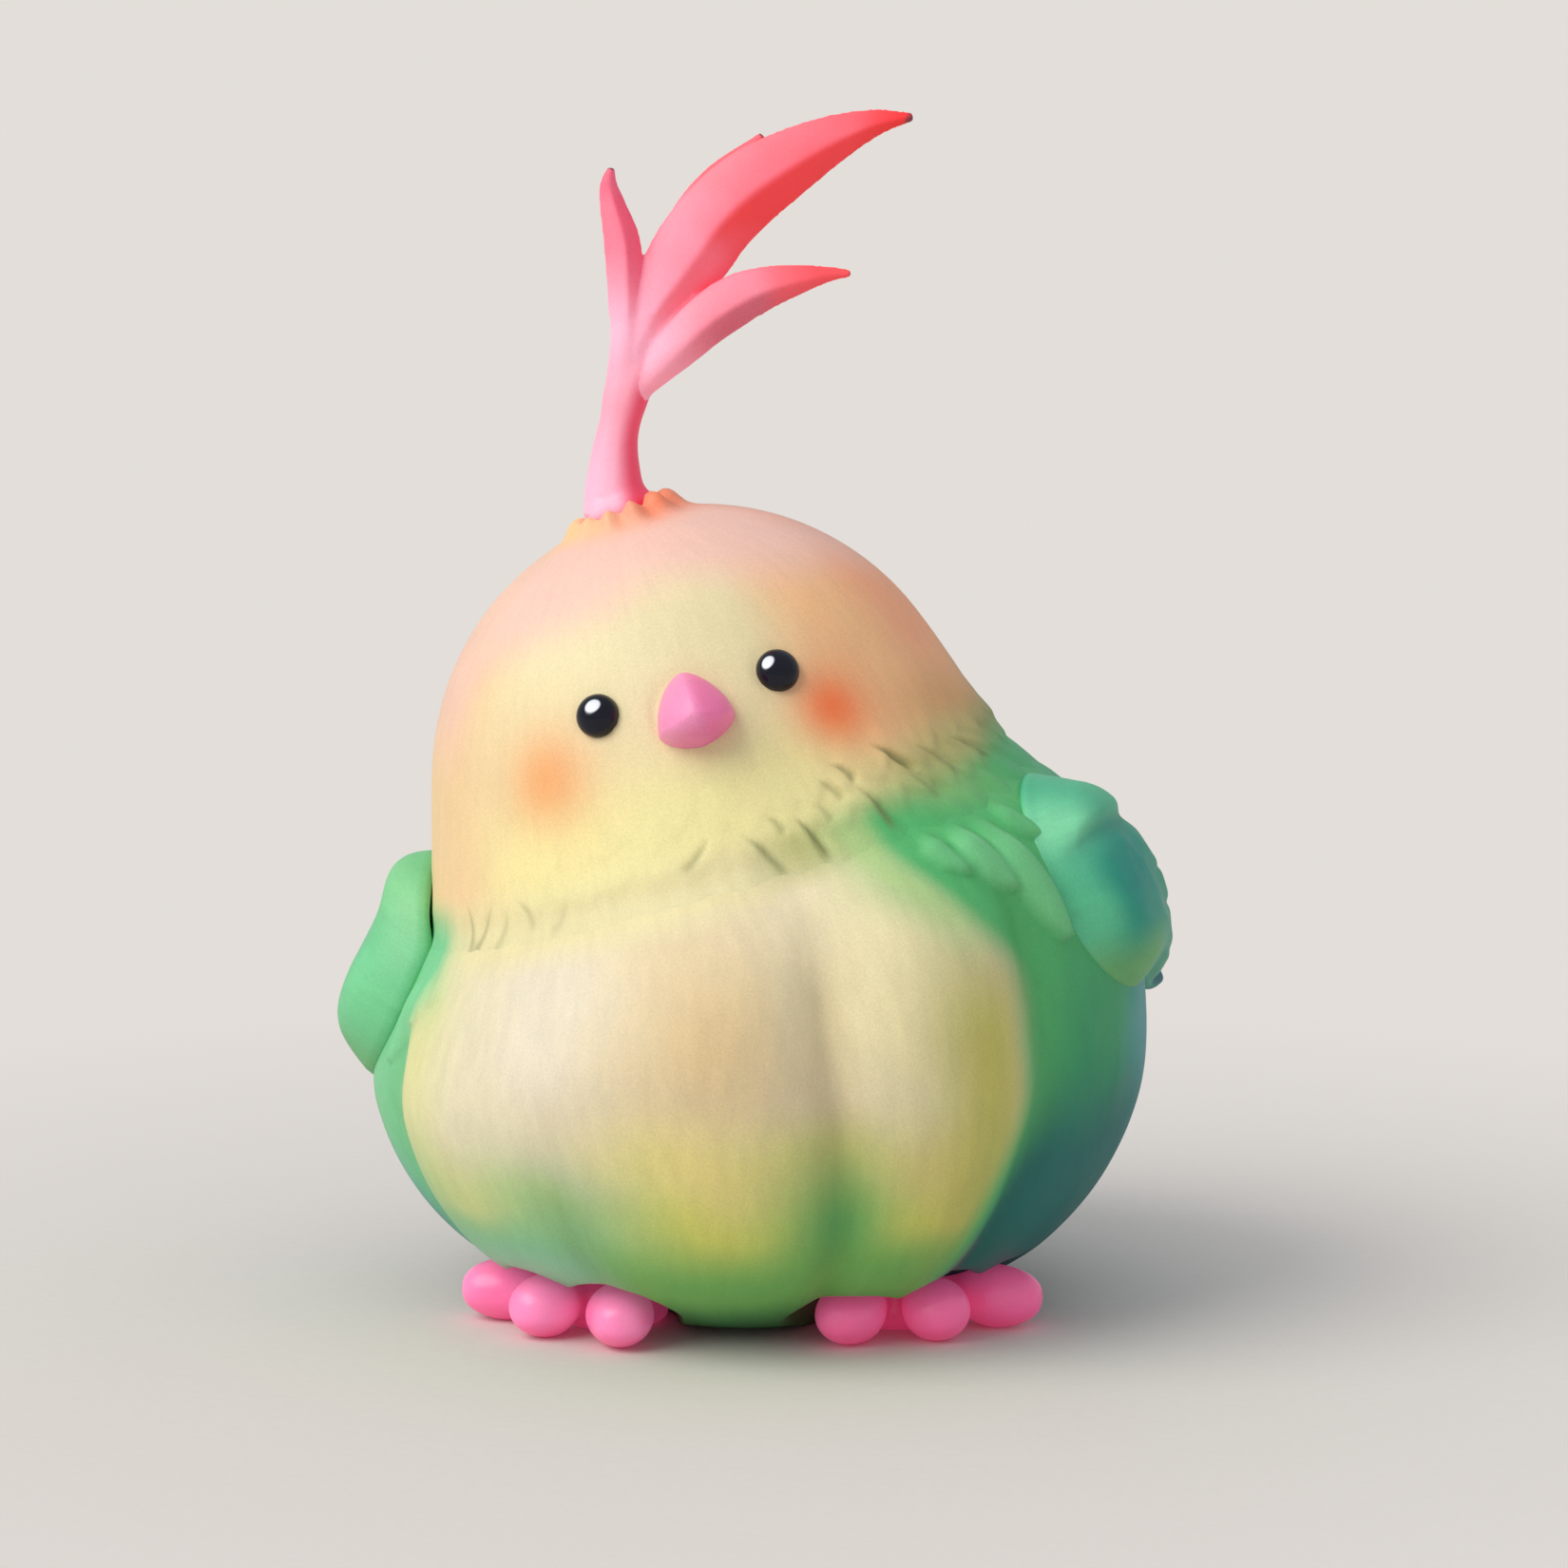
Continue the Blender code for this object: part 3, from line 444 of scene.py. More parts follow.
def eye_gloss():
    """Polished near-black with a painted highlight: it glows where it would mirror a small round softbox."""
    finish, tree, shader = new_finish("eye_gloss")
    place = node(tree, "ShaderNodeTexCoord")
    marks = noise_node(tree, place.outputs["Object"], 900.0, 4.0)
    paint = attribute(tree, "paint").outputs["Color"]
    towards = from_camera(PAINTED_GLINT_AZIMUTH, PAINTED_GLINT_ELEVATION)
    inputs = {0: place.outputs["Reflection"], 1: towards}
    facing = node(tree, "ShaderNodeVectorMath", inputs, operation="DOT_PRODUCT").outputs["Value"]
    inner = math.cos(math.radians(PAINTED_GLINT_SIZE - PAINTED_GLINT_EDGE[0]))
    outer = math.cos(math.radians(PAINTED_GLINT_SIZE + PAINTED_GLINT_EDGE[1]))
    set_inputs(tree, shader, {
        "Base Color": scaled_colour(tree, paint, remap(tree, marks, 0.3, 0.7, 0.8, 1.2)),
        "Roughness": remap(tree, marks, 0.3, 0.7, 0.10, 0.16),
        "Specular IOR Level": 0.35,
        # painted highlight: white emission where the reflected view points towards the softbox
        "Emission Strength": remap(tree, facing, outer, inner, 0.0, 0.92),
        "Emission Color": (0.93, 0.95, 1.0, 1.0),
    })
    return finish


def pin_plastic():
    """Moulded natural nylon, slightly cloudy, with the mould's fine texture."""
    finish, tree, shader = new_finish("pin_plastic")
    place = own_place(tree)
    cloud = noise_node(tree, place, 400.0, 3.0)
    base = plain_colour(tree, (0.78, 0.77, 0.73))
    set_inputs(tree, shader, {
        "Base Color": scaled_colour(tree, base, remap(tree, cloud, 0.3, 0.7, 0.93, 1.03)),
        "Roughness": remap(tree, cloud, 0.3, 0.7, 0.38, 0.5),
        "Normal": bump(tree, noise_node(tree, place, 2500.0), 0.01),
        "Subsurface Weight": 0.2,
        "Subsurface Scale": MM,
    })
    return finish


# ---------------------------------------------------------------- feet places

FOOT_HEADINGS = {"left": 37.5, "right": -31.8}
TOE_TURNS = (-50.0, 0.0, 50.0)
TOE_LENGTHS = (11.0, 8.9, 11.0)


def foot_places():
    """Each foot's pin on the floor and its toes' ends."""
    places = {}
    for side, heading in FOOT_HEADINGS.items():
        origin = joint_place(f"foot_{side}_turn")
        ends = [origin + length * direction(heading + turn) for turn, length in zip(TOE_TURNS, TOE_LENGTHS)]
        places[side] = (origin, ends)
    return places


FEET = foot_places()


def distance_to_toes(points):
    """How far points are from the nearest toe's middle line, seen from above."""
    nearest = np.full(points.shape[:-1], np.inf)
    spot = points * LEVEL
    for origin, ends in FEET.values():
        for end in ends:
            line = end - origin
            along = np.clip((spot - origin) @ line / (line @ line), 0.0, 1.0)
            gap = np.linalg.norm(spot - origin - along[..., None] * line, axis=-1)
            nearest = np.minimum(nearest, gap)
    return nearest


# ---------------------------------------------------------------- body

BODY_FULLNESS = 0.75
BELLY_SHIFT = 0.7
SHOULDER_POLAR = 58.0
HIP_POLAR = 95.0
LEAN_POWER = 1.6

# The lobes. A depth for each crease, from the back round by the bird's right, the breast and its left.
LOBE_WIDTH = 40.0
LOBE_COUNT = 9
COLUMNS_PER_LOBE = 45
CREASE_DEPTHS = np.array([1.6, 1.6, 1.2, 1.7, 0.9, 1.9, 1.7, 1.2, 1.6, 1.6])
SOFT_CREASE = 4
CREASE_SOFTNESS = 0.07
GROOVE_DEPTH = 0.18
GROOVE_WIDTH = 0.14

# Two creases on the bird's left are moved. For each, its azimuth and how far to its sides that is felt.
FLANK_CREASE = (57.0, 15.0)
FLANK_SWING = 2.5
SHOULDER_SWING = 8.0
HIP_SWING = 5.0
BREAST_CREASE = (22.0, 13.0)
BREAST_SWING = 2.8

# Long soft feathers in front of the wing: the azimuth and polar angle of the root and of the tip,
# the half width and the height, all on the bird's left. The right side has them far lower.
SHOULDER_FEATHERS = ((60.5, 53.0, 65.5, 80.0, 2.1, 1.4), (55.0, 53.0, 58.5, 69.5, 1.8, 1.2),
                     (49.5, 53.0, 52.0, 64.0, 1.4, 0.8), (67.0, 53.0, 71.0, 64.0, 1.5, 0.6))
FEATHER_SQUEEZE = 0.85
FEATHER_BOW = 0.8
RIGHT_FEATHERS = 0.3

# The room over the toes is an arch, level near a toe's middle line and steep further out.
FOOT_ROOM = 6.6
ROOM_FLAT = 2.2
ROOM_EDGE = 5.9
ROOM_SOFTNESS = 0.45
ROOM_FALL = 12.0

# The skin goes from the belly's middle up inside, out of the neck's hole and down to the belly again.
BELLY_POLAR = 172.0
INSIDE_POLAR = 118.0
OUTSIDE_POLAR = 45.0

BODY_BASE = "#e3d9b8"
BODY_COATS = (
    ("#e1c796", 1.0, (bell, "turn", 5.0, 15.0), (bell, "level", 31.0, 12.0)),
    ("#e6dbc6", 0.8, (bell, "turn", -20.0, 9.0), (ramp, "level", 22.0, 30.0)),
    ("#dfdc9e", 1.0, (ramp, "turn", -34.0, -50.0), (ramp, "level", 42.0, 30.0)),
    # painted highlight on the edge of the lobe on the bird's left of the breast crease, which faces the light
    ("#fdf0bf", 1.0, (bell, "turn", 32.0, 9.0), (bell, "level", 36.0, 11.0)),
    ("#ecdc8c", 1.0, (ramp, "level", 27.0, 19.0), (ramp, "turn", -18.0, -4.0)),
    ("#d4d890", 1.0, (ramp, "level", 22.0, 14.0), (ramp, "turn", -14.0, -24.0)),
    ("#dcdc6c", 1.0, (ramp, "level", 19.0, 12.5), (ramp, "turn", -34.0, -16.0)),
    ("#ccc566", 1.0, (bell, "flank", 47.0, 11.0), (ramp, "level", 45.0, 30.0)),
    ("#e7dca8", 1.0, (ramp, "polar", 60.0, 52.0), (ramp, "turn", 26.0, 12.0)),
    ("#c6c483", 1.0, (ramp, "polar", 58.0, 50.0), (ramp, "turn", 12.0, 26.0)),
    ("#b4d98e", 0.9, (bell, "forward", 51.0, 9.0), (ramp, "level", 36.0, 43.0)),
    ("#92c88c", 1.0, (bell, "edge", 1.0, 0.7), (ramp, "level", 25.0, 12.0), (ramp, "turn", 4.0, -8.0)),
    ("#62b464", 1.0, (bell, "edge", 1.0, 0.5), (linear, "crease", 0.0, 1.0), (ramp, "level", 27.0, 12.0),
     (ramp, "turn", -2.0, 8.0)),
    ("#76ba5c", 1.0, (ramp, "level", 13.5, 8.5)),
    ("#8fcda4", 1.0, (ramp, "level", 14.0, 8.0), (ramp, "turn", -10.0, -24.0)),
    ("#3f8648", 1.0, (ramp, "level", 7.5, 1.5)),
    ("#55bc70", 1.0, (ramp, "forward", 51.0, 60.0)),
    ("#78cb92", 1.0, (linear, "right_flank", 0.0, 1.0)),
    # painted highlight: paler green along the raised middles of the shoulder feathers
    ("#8ddba2", 0.45, (linear, "feather", 0.0, 1.0)),
    ("#2f9c68", 1.0, (ramp, "flank", 57.0, 70.0), (ramp, "level", 44.0, 26.0)),
    ("#2f9a7e", 1.0, (ramp, "side", 72.0, 92.0), (ramp, "level", 56.0, 42.0)),
    ("#4aa3a0", 1.0, (ramp, "turn", 74.0, 86.0), (bell, "level", 27.0, 13.0)),
    ("#10706a", 1.0, (ramp, "forward", 56.0, 66.0), (ramp, "level", 30.0, 17.0)),
    ("#5aa5a0", 0.8, (ramp, "turn", -56.0, -72.0), (ramp, "level", 20.0, 10.0)),
    ("#1c7f86", 1.0, (ramp, "side", 92.0, 114.0), (ramp, "level", 50.0, 30.0)),
    ("#2f7ba6", 0.8, (bell, "side", 106.0, 15.0), (bell, "level", 28.0, 16.0)),
    ("#1d8f8a", 1.0, (ramp, "side", 118.0, 150.0)),
    ("#c2c884", 0.6, (ramp, "level", 49.0, 54.0), (ramp, "turn", 84.0, 56.0)),
    ("#0f5f5e", 1.0, (ramp, "side", 58.0, 80.0), (ramp, "level", 15.0, 5.0)),
)
CREASE_SHADE = np.array([0.7, 0.9, 1.2])


def lobe_turn(azimuth, polar):
    """The azimuth that the lobes follow. The left flank's crease swings forwards over the shoulder."""
    turn = turn_between(azimuth, 0.0)
    swing = FLANK_SWING + SHOULDER_SWING * ramp(polar, 74.0, 54.0) + HIP_SWING * ramp(polar, 98.0, 130.0)
    return turn + swing * bell(turn, *FLANK_CREASE) - BREAST_SWING * bell(turn, *BREAST_CREASE)


def lobe_edge(azimuth, polar):
    """0 in the middle of a lobe and 1 in the crease at its edge."""
    half = LOBE_WIDTH / 2
    return np.abs(np.mod(lobe_turn(azimuth, polar) + half, LOBE_WIDTH) - half) / half


def crease_fade(azimuth, polar):
    """How strong the nearest crease is at a polar angle, and its depth in full."""
    number = np.floor(lobe_turn(azimuth, polar) / LOBE_WIDTH).astype(int) + len(CREASE_DEPTHS) // 2
    number = np.clip(number, 0, len(CREASE_DEPTHS) - 1)
    fade = np.where(number == SOFT_CREASE, ramp(polar, 90.0, 125.0), ramp(polar, 57.0, 83.0))
    return fade * ramp(polar, 180.0, 150.0), CREASE_DEPTHS[number]


def lobe_drop(azimuth, polar):
    """The skin drops from the middle of a lobe to its edge, into a soft valley along the edge."""
    fade, depth = crease_fade(azimuth, polar)
    edge = lobe_edge(azimuth, polar)
    rounded = 1.0 + CREASE_SOFTNESS - np.hypot(1.0 - edge, CREASE_SOFTNESS)
    return fade * depth * (rounded**3 + GROOVE_DEPTH * bell(edge, 1.0, GROOVE_WIDTH))


def feather_height(azimuth, polar):
    """Raised leaf shapes over the shoulders, each highest along its middle and steep at its rim."""
    height = np.zeros(np.broadcast(azimuth, polar).shape)
    side = np.abs(turn_between(azimuth, 0.0))
    per_degree = math.pi * BODY_RADIUS / 180.0
    down_scale = per_degree * FEATHER_SQUEEZE
    for start_azimuth, start_polar, end_azimuth, end_polar, half, top in SHOULDER_FEATHERS:
        x = (side - start_azimuth) * per_degree * np.sin(np.radians(polar))
        y = (polar - start_polar) * down_scale
        middle = math.radians(0.9 * (start_azimuth + end_azimuth) / 2)
        line_x = (end_azimuth - start_azimuth) * per_degree * math.sin(middle)
        along, across = along_line(x, y, line_x, (end_polar - start_polar) * down_scale)
        inner = np.clip(along, 0.0, 1.0)
        across = across + FEATHER_BOW * np.sin(np.pi * inner)
        width = half * np.clip(np.sin(np.pi * inner**1.25), 0.0, 1.0) ** 0.6 + 0.02
        inside = np.clip(1.0 - (across / width) ** 2, 0.0, 1.0)
        height = np.maximum(height, top * inside**0.55 * ramp(along, 0.06, 0.45) * (along < 1.0))
    return height * np.where(turn_between(azimuth, 0.0) > 0.0, 1.0, RIGHT_FEATHERS)


def belly_relief(azimuth, polar):
    """Faint ridges down the lobes, and the slight unevenness of a hand-sculpted master."""
    ridge = noise(around(azimuth, polar * 0.10), 3.2, 5) * 0.10
    hand = noise(around(azimuth, polar * 0.65), 9.0, 6) * 0.16
    return ramp(polar, 62.0, 85.0) * ramp(polar, 165.0, 145.0) * (ridge + hand)


def lean_share(polar):
    return (1.0 - linear(polar, SHOULDER_POLAR, 180.0)) ** LEAN_POWER


def on_the_floor(points, floor):
    """Hollows the underside over the feet and flattens it where it rests."""
    out = (distance_to_toes(points) - ROOM_FLAT) / (ROOM_EDGE + floor - ROOM_FLAT)
    arch = np.sqrt(1.0 - np.clip(out, 0.0, 1.0) ** 2)
    ceiling = (FOOT_ROOM + floor) * arch - ROOM_FALL * np.clip(out - 1.0, 0.0, 4.0)
    lift = ROOM_SOFTNESS * np.logaddexp(0.0, (ceiling - points[..., 2]) / ROOM_SOFTNESS)
    raised = np.maximum(points[..., 2] + lift, floor)
    return np.concatenate([points[..., :2], raised[..., None]], axis=-1)


def body_point(azimuth, polar, inset=0.0, relief=0.0):
    """A point of the body's skin, or of its inside when inset is the wall's thickness."""
    azimuth, polar = np.broadcast_arrays(azimuth, polar)
    across = np.maximum(np.sin(np.radians(polar)), 1e-6)
    rise = np.cos(np.radians(polar))
    below = polar > 90.0
    side = (BODY_RADIUS - inset + relief - lobe_drop(azimuth, polar)) * across
    side = np.where(below, side * across ** (BODY_FULLNESS - 1.0), side)
    height = np.where(below, BODY_DOWN, BODY_UP) - inset + relief
    local = side[..., None] * direction(azimuth) + (height * rise)[..., None] * UP
    shift = BELLY_SHIFT + (LEAN_SHIFT - BELLY_SHIFT) * ramp(polar, HIP_POLAR, SHOULDER_POLAR)
    centre = BODY_CENTRE - shift[..., None] * LEAN_DIRECTION
    return on_the_floor(centre + turned(local, LEAN_HINGE, lean_share(polar) * LEAN), inset)


def paint_body(azimuth, polar, points):
    """Cream breast, yellow-green low on the lobes, green sides that turn to teal and blue, with painted
    highlights on one lobe's edge and along the shoulder feathers.
    """
    mottle = noise(points, 7.0, 11)
    fine = noise(around(azimuth, polar * 0.2), 2.2, 12)
    turn = turn_between(azimuth, 0.0) + 2.0 * mottle + 0.8 * fine
    flank = lobe_turn(azimuth, polar) + 1.6 * mottle + 0.8 * fine
    level = points[..., 2] + 1.4 * mottle
    edge = lobe_edge(azimuth, polar)
    fade, _ = crease_fade(azimuth, polar)
    paint = coated(points.shape, BODY_BASE)
    airbrush(paint, BODY_COATS, {
        "polar": polar,
        "turn": turn,
        "side": np.abs(turn),
        "level": level,
        "flank": flank,
        "forward": flank + 11.0 * ramp(level, 35.0, 48.0) + 6.0 * ramp(level, 24.0, 10.0),
        "right_flank": ramp(turn, -54.0, -62.0) + bell(turn, -58.0, 9.0) * ramp(level, 27.0, 34.0),
        "edge": edge,
        "crease": fade,
        "feather": feather_height(azimuth, polar),
    })
    shade = bell(edge, 1.0, 0.22) * fade * np.where(np.abs(turn) < 40.0, 0.16, 0.12)
    paint *= 1.0 - shade[..., None] * CREASE_SHADE
    return paint


def make_body(finish):
    steps = np.linspace(-1.0, 1.0, COLUMNS_PER_LOBE, endpoint=False)
    across_lobe = LOBE_WIDTH / 2 * (0.6 * steps + 0.4 * np.sin(steps * math.pi / 2))
    azimuth = (np.arange(LOBE_COUNT)[:, None] * LOBE_WIDTH + across_lobe).reshape(1, -1)
    inside_hole = math.degrees(math.asin(NECK_HOLE / (BODY_RADIUS - BODY_WALL)))
    outside_hole = math.degrees(math.asin(NECK_HOLE / BODY_RADIUS))
    inside = np.concatenate([np.linspace(BELLY_POLAR, INSIDE_POLAR, 12),
                             np.linspace(INSIDE_POLAR, inside_hole, 14)[1:]])[:, None]
    outside = np.concatenate([np.linspace(outside_hole, OUTSIDE_POLAR, 8),
                              np.linspace(OUTSIDE_POLAR, BELLY_POLAR, 185)[1:]])[:, None]
    relief = belly_relief(azimuth, outside) + feather_height(azimuth, outside)
    points = np.concatenate([body_point(azimuth, inside, BODY_WALL),
                             body_point(azimuth, outside, 0.0, relief)])
    polar = np.concatenate([inside, outside])
    paint = paint_body(azimuth, polar, points)
    add_skin("body_skin", points, paint, around(azimuth, polar * 0.12), finish, "body", "body_shell")


# ---------------------------------------------------------------- head

# The head's section, drawn about its axis from the pivot. A pair is a radius and a height.
HEAD_WALL = 2.0
DOME_RADIUS = 25.6
DOME_CENTRE = 24.5
DOME_END = 67.2
CHEEK_PULL = (26.1, 28.2)
SKIRT_PULL = (27.4, 21.6)
RIM = (28.8, 18.9)
SEAT_HEIGHT = 50.0
SEAT_RADIUS = 3.7
PIN_HOLE = 1.7
COLLAR = (4.5, 50.8)
COLLAR_EDGE = 5.8
NECK_RADIUS = 11.0
NECK_LIP = 12.9
NECK_BORE = 9.0
NECK_PLAY = 0.4
HEAD_COLUMNS = 540
SKIRT_ROWS = 40
FACE_AZIMUTH = 16.2
CREST_SIDE = 62.0

# Past the rim the skin lies on the body: heights over the body's skin of the edge's two sides, which
# dip into it, and of the underside further in, which rests clear of it.
EDGE_TOP = -0.08
EDGE_BOTTOM = -0.20
EDGE_REST = 0.04

# The face: each eye's turn from the face's azimuth, and its height.
EYE_RADIUS = 2.0
EYE_PLACES = {"left": (21.8, 33.9), "right": (-19.6, 34.9)}
BEAK_AZIMUTH = FACE_AZIMUTH + 0.9
BEAK_HEIGHT = 33.0
BEAK_REACH = 5.3

# Two rows of tufts above the rim: the seed of their draws, their width, how far above, their height.
# The lowest tufts make the skin's edge: their seed and width, and the least and the further reach.
TUFT_ROWS = ((31, 7.0, 5.4, 0.22), (41, 6.0, 2.4, 0.24))
TUFT_SPREAD = 0.5
EDGE_TUFTS = (21, 6.2)
EDGE_REACH = (1.6, 2.6)

# Slits between the lowest tufts: the azimuth and the place past the rim of the upper end and of the
# lower end, and how deep the slit is.
SLITS = ((12.5, -3.4, 7.0, -1.0, 0.45), (19.0, -2.4, 23.5, 1.3, 0.8), (24.0, -3.6, 26.0, -1.6, 0.5),
         (29.0, -2.6, 31.5, 1.4, 1.0), (33.5, -3.2, 35.0, -1.2, 0.35), (36.0, -5.0, 39.0, -2.8, 0.5),
         (43.0, -3.2, 45.5, 0.9, 1.0), (40.0, -6.0, 43.0, -4.0, 0.7), (50.0, -6.4, 56.0, -3.0, 0.9),
         (54.0, -3.0, 58.0, 0.4, 0.5), (60.0, -4.8, 66.0, -1.0, 0.6), (70.0, -4.0, 79.0, -0.8, 0.7),
         (-45.0, -2.4, -42.5, 1.6, 0.6), (-36.0, -2.2, -41.5, 1.5, 0.7), (-31.5, -1.6, -35.0, 1.6, 0.4),
         (-28.5, -2.0, -25.0, 0.4, 0.35), (-17.0, -1.4, -20.5, 0.9, 0.3))
SLIT_DEPTH = 0.42

HEAD_BASE = "#ecdfb0"
HEAD_COATS = (
    ("#f4eba8", 1.0, (ramp, "height", 33.0, 25.0)),
    ("#f1d09c", 1.0, (ramp, "turn", -36.0, -64.0)),
    ("#fbc48f", 1.0, (ramp, "turn", 16.0, 42.0), (ramp, "height", 20.0, 28.0)),
    ("#fdb085", 1.0, (ramp, "turn", 44.0, 66.0), (ramp, "height", 24.0, 33.0)),
    ("#dfa871", 1.0, (ramp, "turn", 34.0, 58.0), (ramp, "height", 31.0, 25.0)),
    ("#f7cbbb", 1.0, (ramp, "crown", 41.0, 47.5)),
    ("#f3c9b2", 1.0, (ramp, "turn", -48.0, -70.0), (ramp, "height", 30.0, 40.0)),
    ("#f5b5a0", 0.7, (ramp, "turn", 50.0, 85.0), (ramp, "height", 36.0, 46.0)),
    ("#e8b48c", 1.0, (ramp, "side", 95.0, 140.0)),
    ("#7fb46a", 1.0, (ramp, "side", 95.0, 140.0), (ramp, "height", 33.0, 22.0)),
    ("#c3bb7a", 1.0, (ramp, "turn", 24.0, 44.0), (ramp, "height", 26.0, 21.5)),
    ("#8f9a5c", 1.0, (ramp, "turn", 58.0, 76.0), (ramp, "height", 27.0, 21.0)),
)
COLLAR_COATS = (
    ("#ffcb94", 1.0, (bell, "arc", 1.8, 2.6), (dip, "from_crest_side", 0.0, 60.0)),
    ("#fb8b62", 1.0, (bell, "arc", 1.8, 2.6), (bell, "from_crest_side", 0.0, 60.0)),
)
# Dark olive sprayed into the slits between the tufts: painted shade.
SLIT_PAINTED_SHADE = "#6d7440"

# The cheeks: azimuth, height, colour, size and cover. A wider and fainter coat lies round each.
CHEEKS = ((-17.5, 30.6, "#f7a25c", 3.6, 0.72), (46.0, 29.3, "#ff8048", 2.9, 1.0))
CHEEK_HAZE = 0.40
CHEEK_HAZE_SIZE = 1.7


def over_the_seat(radius, rise):
    """The height of the body's shoulder under the head at a radius, raised along its normal."""
    return (BODY_UP + rise) * np.sqrt(1.0 - (radius / (BODY_RADIUS + rise)) ** 2)


def head_outline():
    """The head's section from the collar to below the rim: arc length, radius and height."""
    polar = np.radians(np.linspace(math.degrees(math.asin(COLLAR_EDGE / DOME_RADIUS)), DOME_END, 200))
    dome = np.stack([DOME_RADIUS * np.sin(polar), DOME_CENTRE + DOME_RADIUS * np.cos(polar)], axis=-1)
    share = np.linspace(0.0, 1.0, 60)
    rest = 1.0 - share
    weights = np.stack([rest**3, 3 * rest**2 * share, 3 * rest * share**2, share**3], axis=-1)
    cheek = weights @ np.array([dome[-1], CHEEK_PULL, SKIRT_PULL, RIM])
    out = np.linspace(RIM[0], RIM[0] + 5.0, SKIRT_ROWS)[1:]
    skirt = np.stack([out, over_the_seat(out, np.linspace(0.72, 0.34, SKIRT_ROWS - 1))], axis=-1)
    collar = np.array([(SEAT_RADIUS, SEAT_HEIGHT), COLLAR])
    corners = np.concatenate([collar, dome, cheek[1:], skirt])
    arc = np.concatenate([[0.0], np.cumsum(np.linalg.norm(np.diff(corners, axis=0), axis=1))])
    even = np.linspace(0.0, arc[-1], 1200)
    reach = 30
    window = np.hanning(2 * reach + 1)
    window /= window.sum()
    smooth = []
    for column in corners.T:
        padded = np.pad(np.interp(even, arc, column), reach, mode="reflect", reflect_type="odd")
        smooth.append(np.convolve(padded, window, "valid"))
    low = slice(-SKIRT_ROWS - 5, None)
    return even, smooth[0], smooth[1], float(np.interp(RIM[0], corners[low, 0], arc[low]))


ARC, ARC_RADIUS, ARC_HEIGHT, RIM_ARC = head_outline()


def arc_at_height(height):
    """Below the collar, where the section only falls, the arc length at a height."""
    return float(np.interp(-height, -ARC_HEIGHT[100:], ARC[100:]))


def tuft_reach(azimuth, seed, width):
    """The ragged edge of a row of feather tufts, from 0 to 1."""
    draw = np.random.default_rng(seed)
    count = int(360.0 / width)
    middles = (np.arange(count) + draw.uniform(-0.3, 0.3, count)) * 360.0 / count
    lengths = draw.uniform(1.0 - TUFT_SPREAD, 1.0, count)
    widths = draw.uniform(0.55, 0.95, count) * width
    leans = draw.uniform(-0.25, 0.25, count)
    reach = np.zeros(azimuth.shape)
    for middle, length, half, lean in zip(middles, lengths, widths, leans):
        away = turn_between(azimuth, middle) / half
        tip = np.clip(1.0 - np.abs(away - lean * (1.0 - np.abs(away))), 0.0, 1.0)
        reach = np.maximum(reach, length * tip**0.8)
    return reach


def tuft_strength(azimuth):
    """Tufts are long and clear from the left cheek round to the nape and faint on the right breast."""
    clear = ramp(turn_between(azimuth, 28.0), -14.0, 22.0) * ramp(turn_between(azimuth, 150.0), 60.0, 0.0)
    back = ramp(np.abs(turn_between(azimuth, 0.0)), 100.0, 150.0)
    return 0.30 + 0.70 * np.clip(clear + back, 0.0, 1.0)


def tuft_edge(azimuth):
    """How far past the rim the head's skin reaches at an azimuth."""
    least, further = EDGE_REACH
    return least + further * tuft_strength(azimuth) * tuft_reach(azimuth, *EDGE_TUFTS)


def slit_depth(azimuth, arc):
    """From 0 to 1 in the slits between the lowest tufts."""
    depth = np.zeros(np.broadcast(azimuth, arc).shape)
    per_degree = math.pi * RIM[0] / 180.0
    for start_azimuth, start_past, end_azimuth, end_past, strength in SLITS:
        x = turn_between(azimuth, start_azimuth) * per_degree
        y = arc - RIM_ARC - start_past
        along, across = along_line(x, y, (end_azimuth - start_azimuth) * per_degree, end_past - start_past)
        inner = np.clip(along, 0.0, 1.0)
        cut = bell(across, 0.25 * np.sin(math.pi * inner), 0.16 + 0.34 * inner)
        depth = np.maximum(depth, strength * cut * ramp(along, -0.15, 0.5) * ramp(along, 1.15, 0.85))
    return depth


def head_relief(azimuth, arc):
    """Rows of soft tufts above the rim, slits between them, strands, and lumps at the crest's seat."""
    strength = tuft_strength(azimuth)
    relief = -SLIT_DEPTH * slit_depth(azimuth, arc)
    for seed, width, above, top in TUFT_ROWS:
        edge = RIM_ARC - above + 3.0 * tuft_reach(azimuth, seed, width)
        step = ramp(arc, edge - 4.5, edge - 0.7) * ramp(arc, edge + 0.7, edge - 0.5)
        relief += top * strength * step
    strands = noise(around(azimuth + 0.7 * (arc - RIM_ARC), arc * 0.12, 29.0), 1.1, 7)
    relief += 0.06 * strength * strands * ramp(arc, RIM_ARC - 8.0, RIM_ARC - 1.0)
    lumps = 0.5 + 0.5 * np.cos(np.radians(azimuth * 11.0 + 60.0 * np.sin(np.radians(2.0 * azimuth))))
    heights = 0.45 + 0.55 * bell(turn_between(azimuth, CREST_SIDE), 0.0, 55.0)
    ring = bell(arc, 0.9, 0.9) + 0.8 * bell(arc, 2.4, 1.4)
    return relief + 0.95 * ring * (0.2 + 0.8 * lumps) * heights


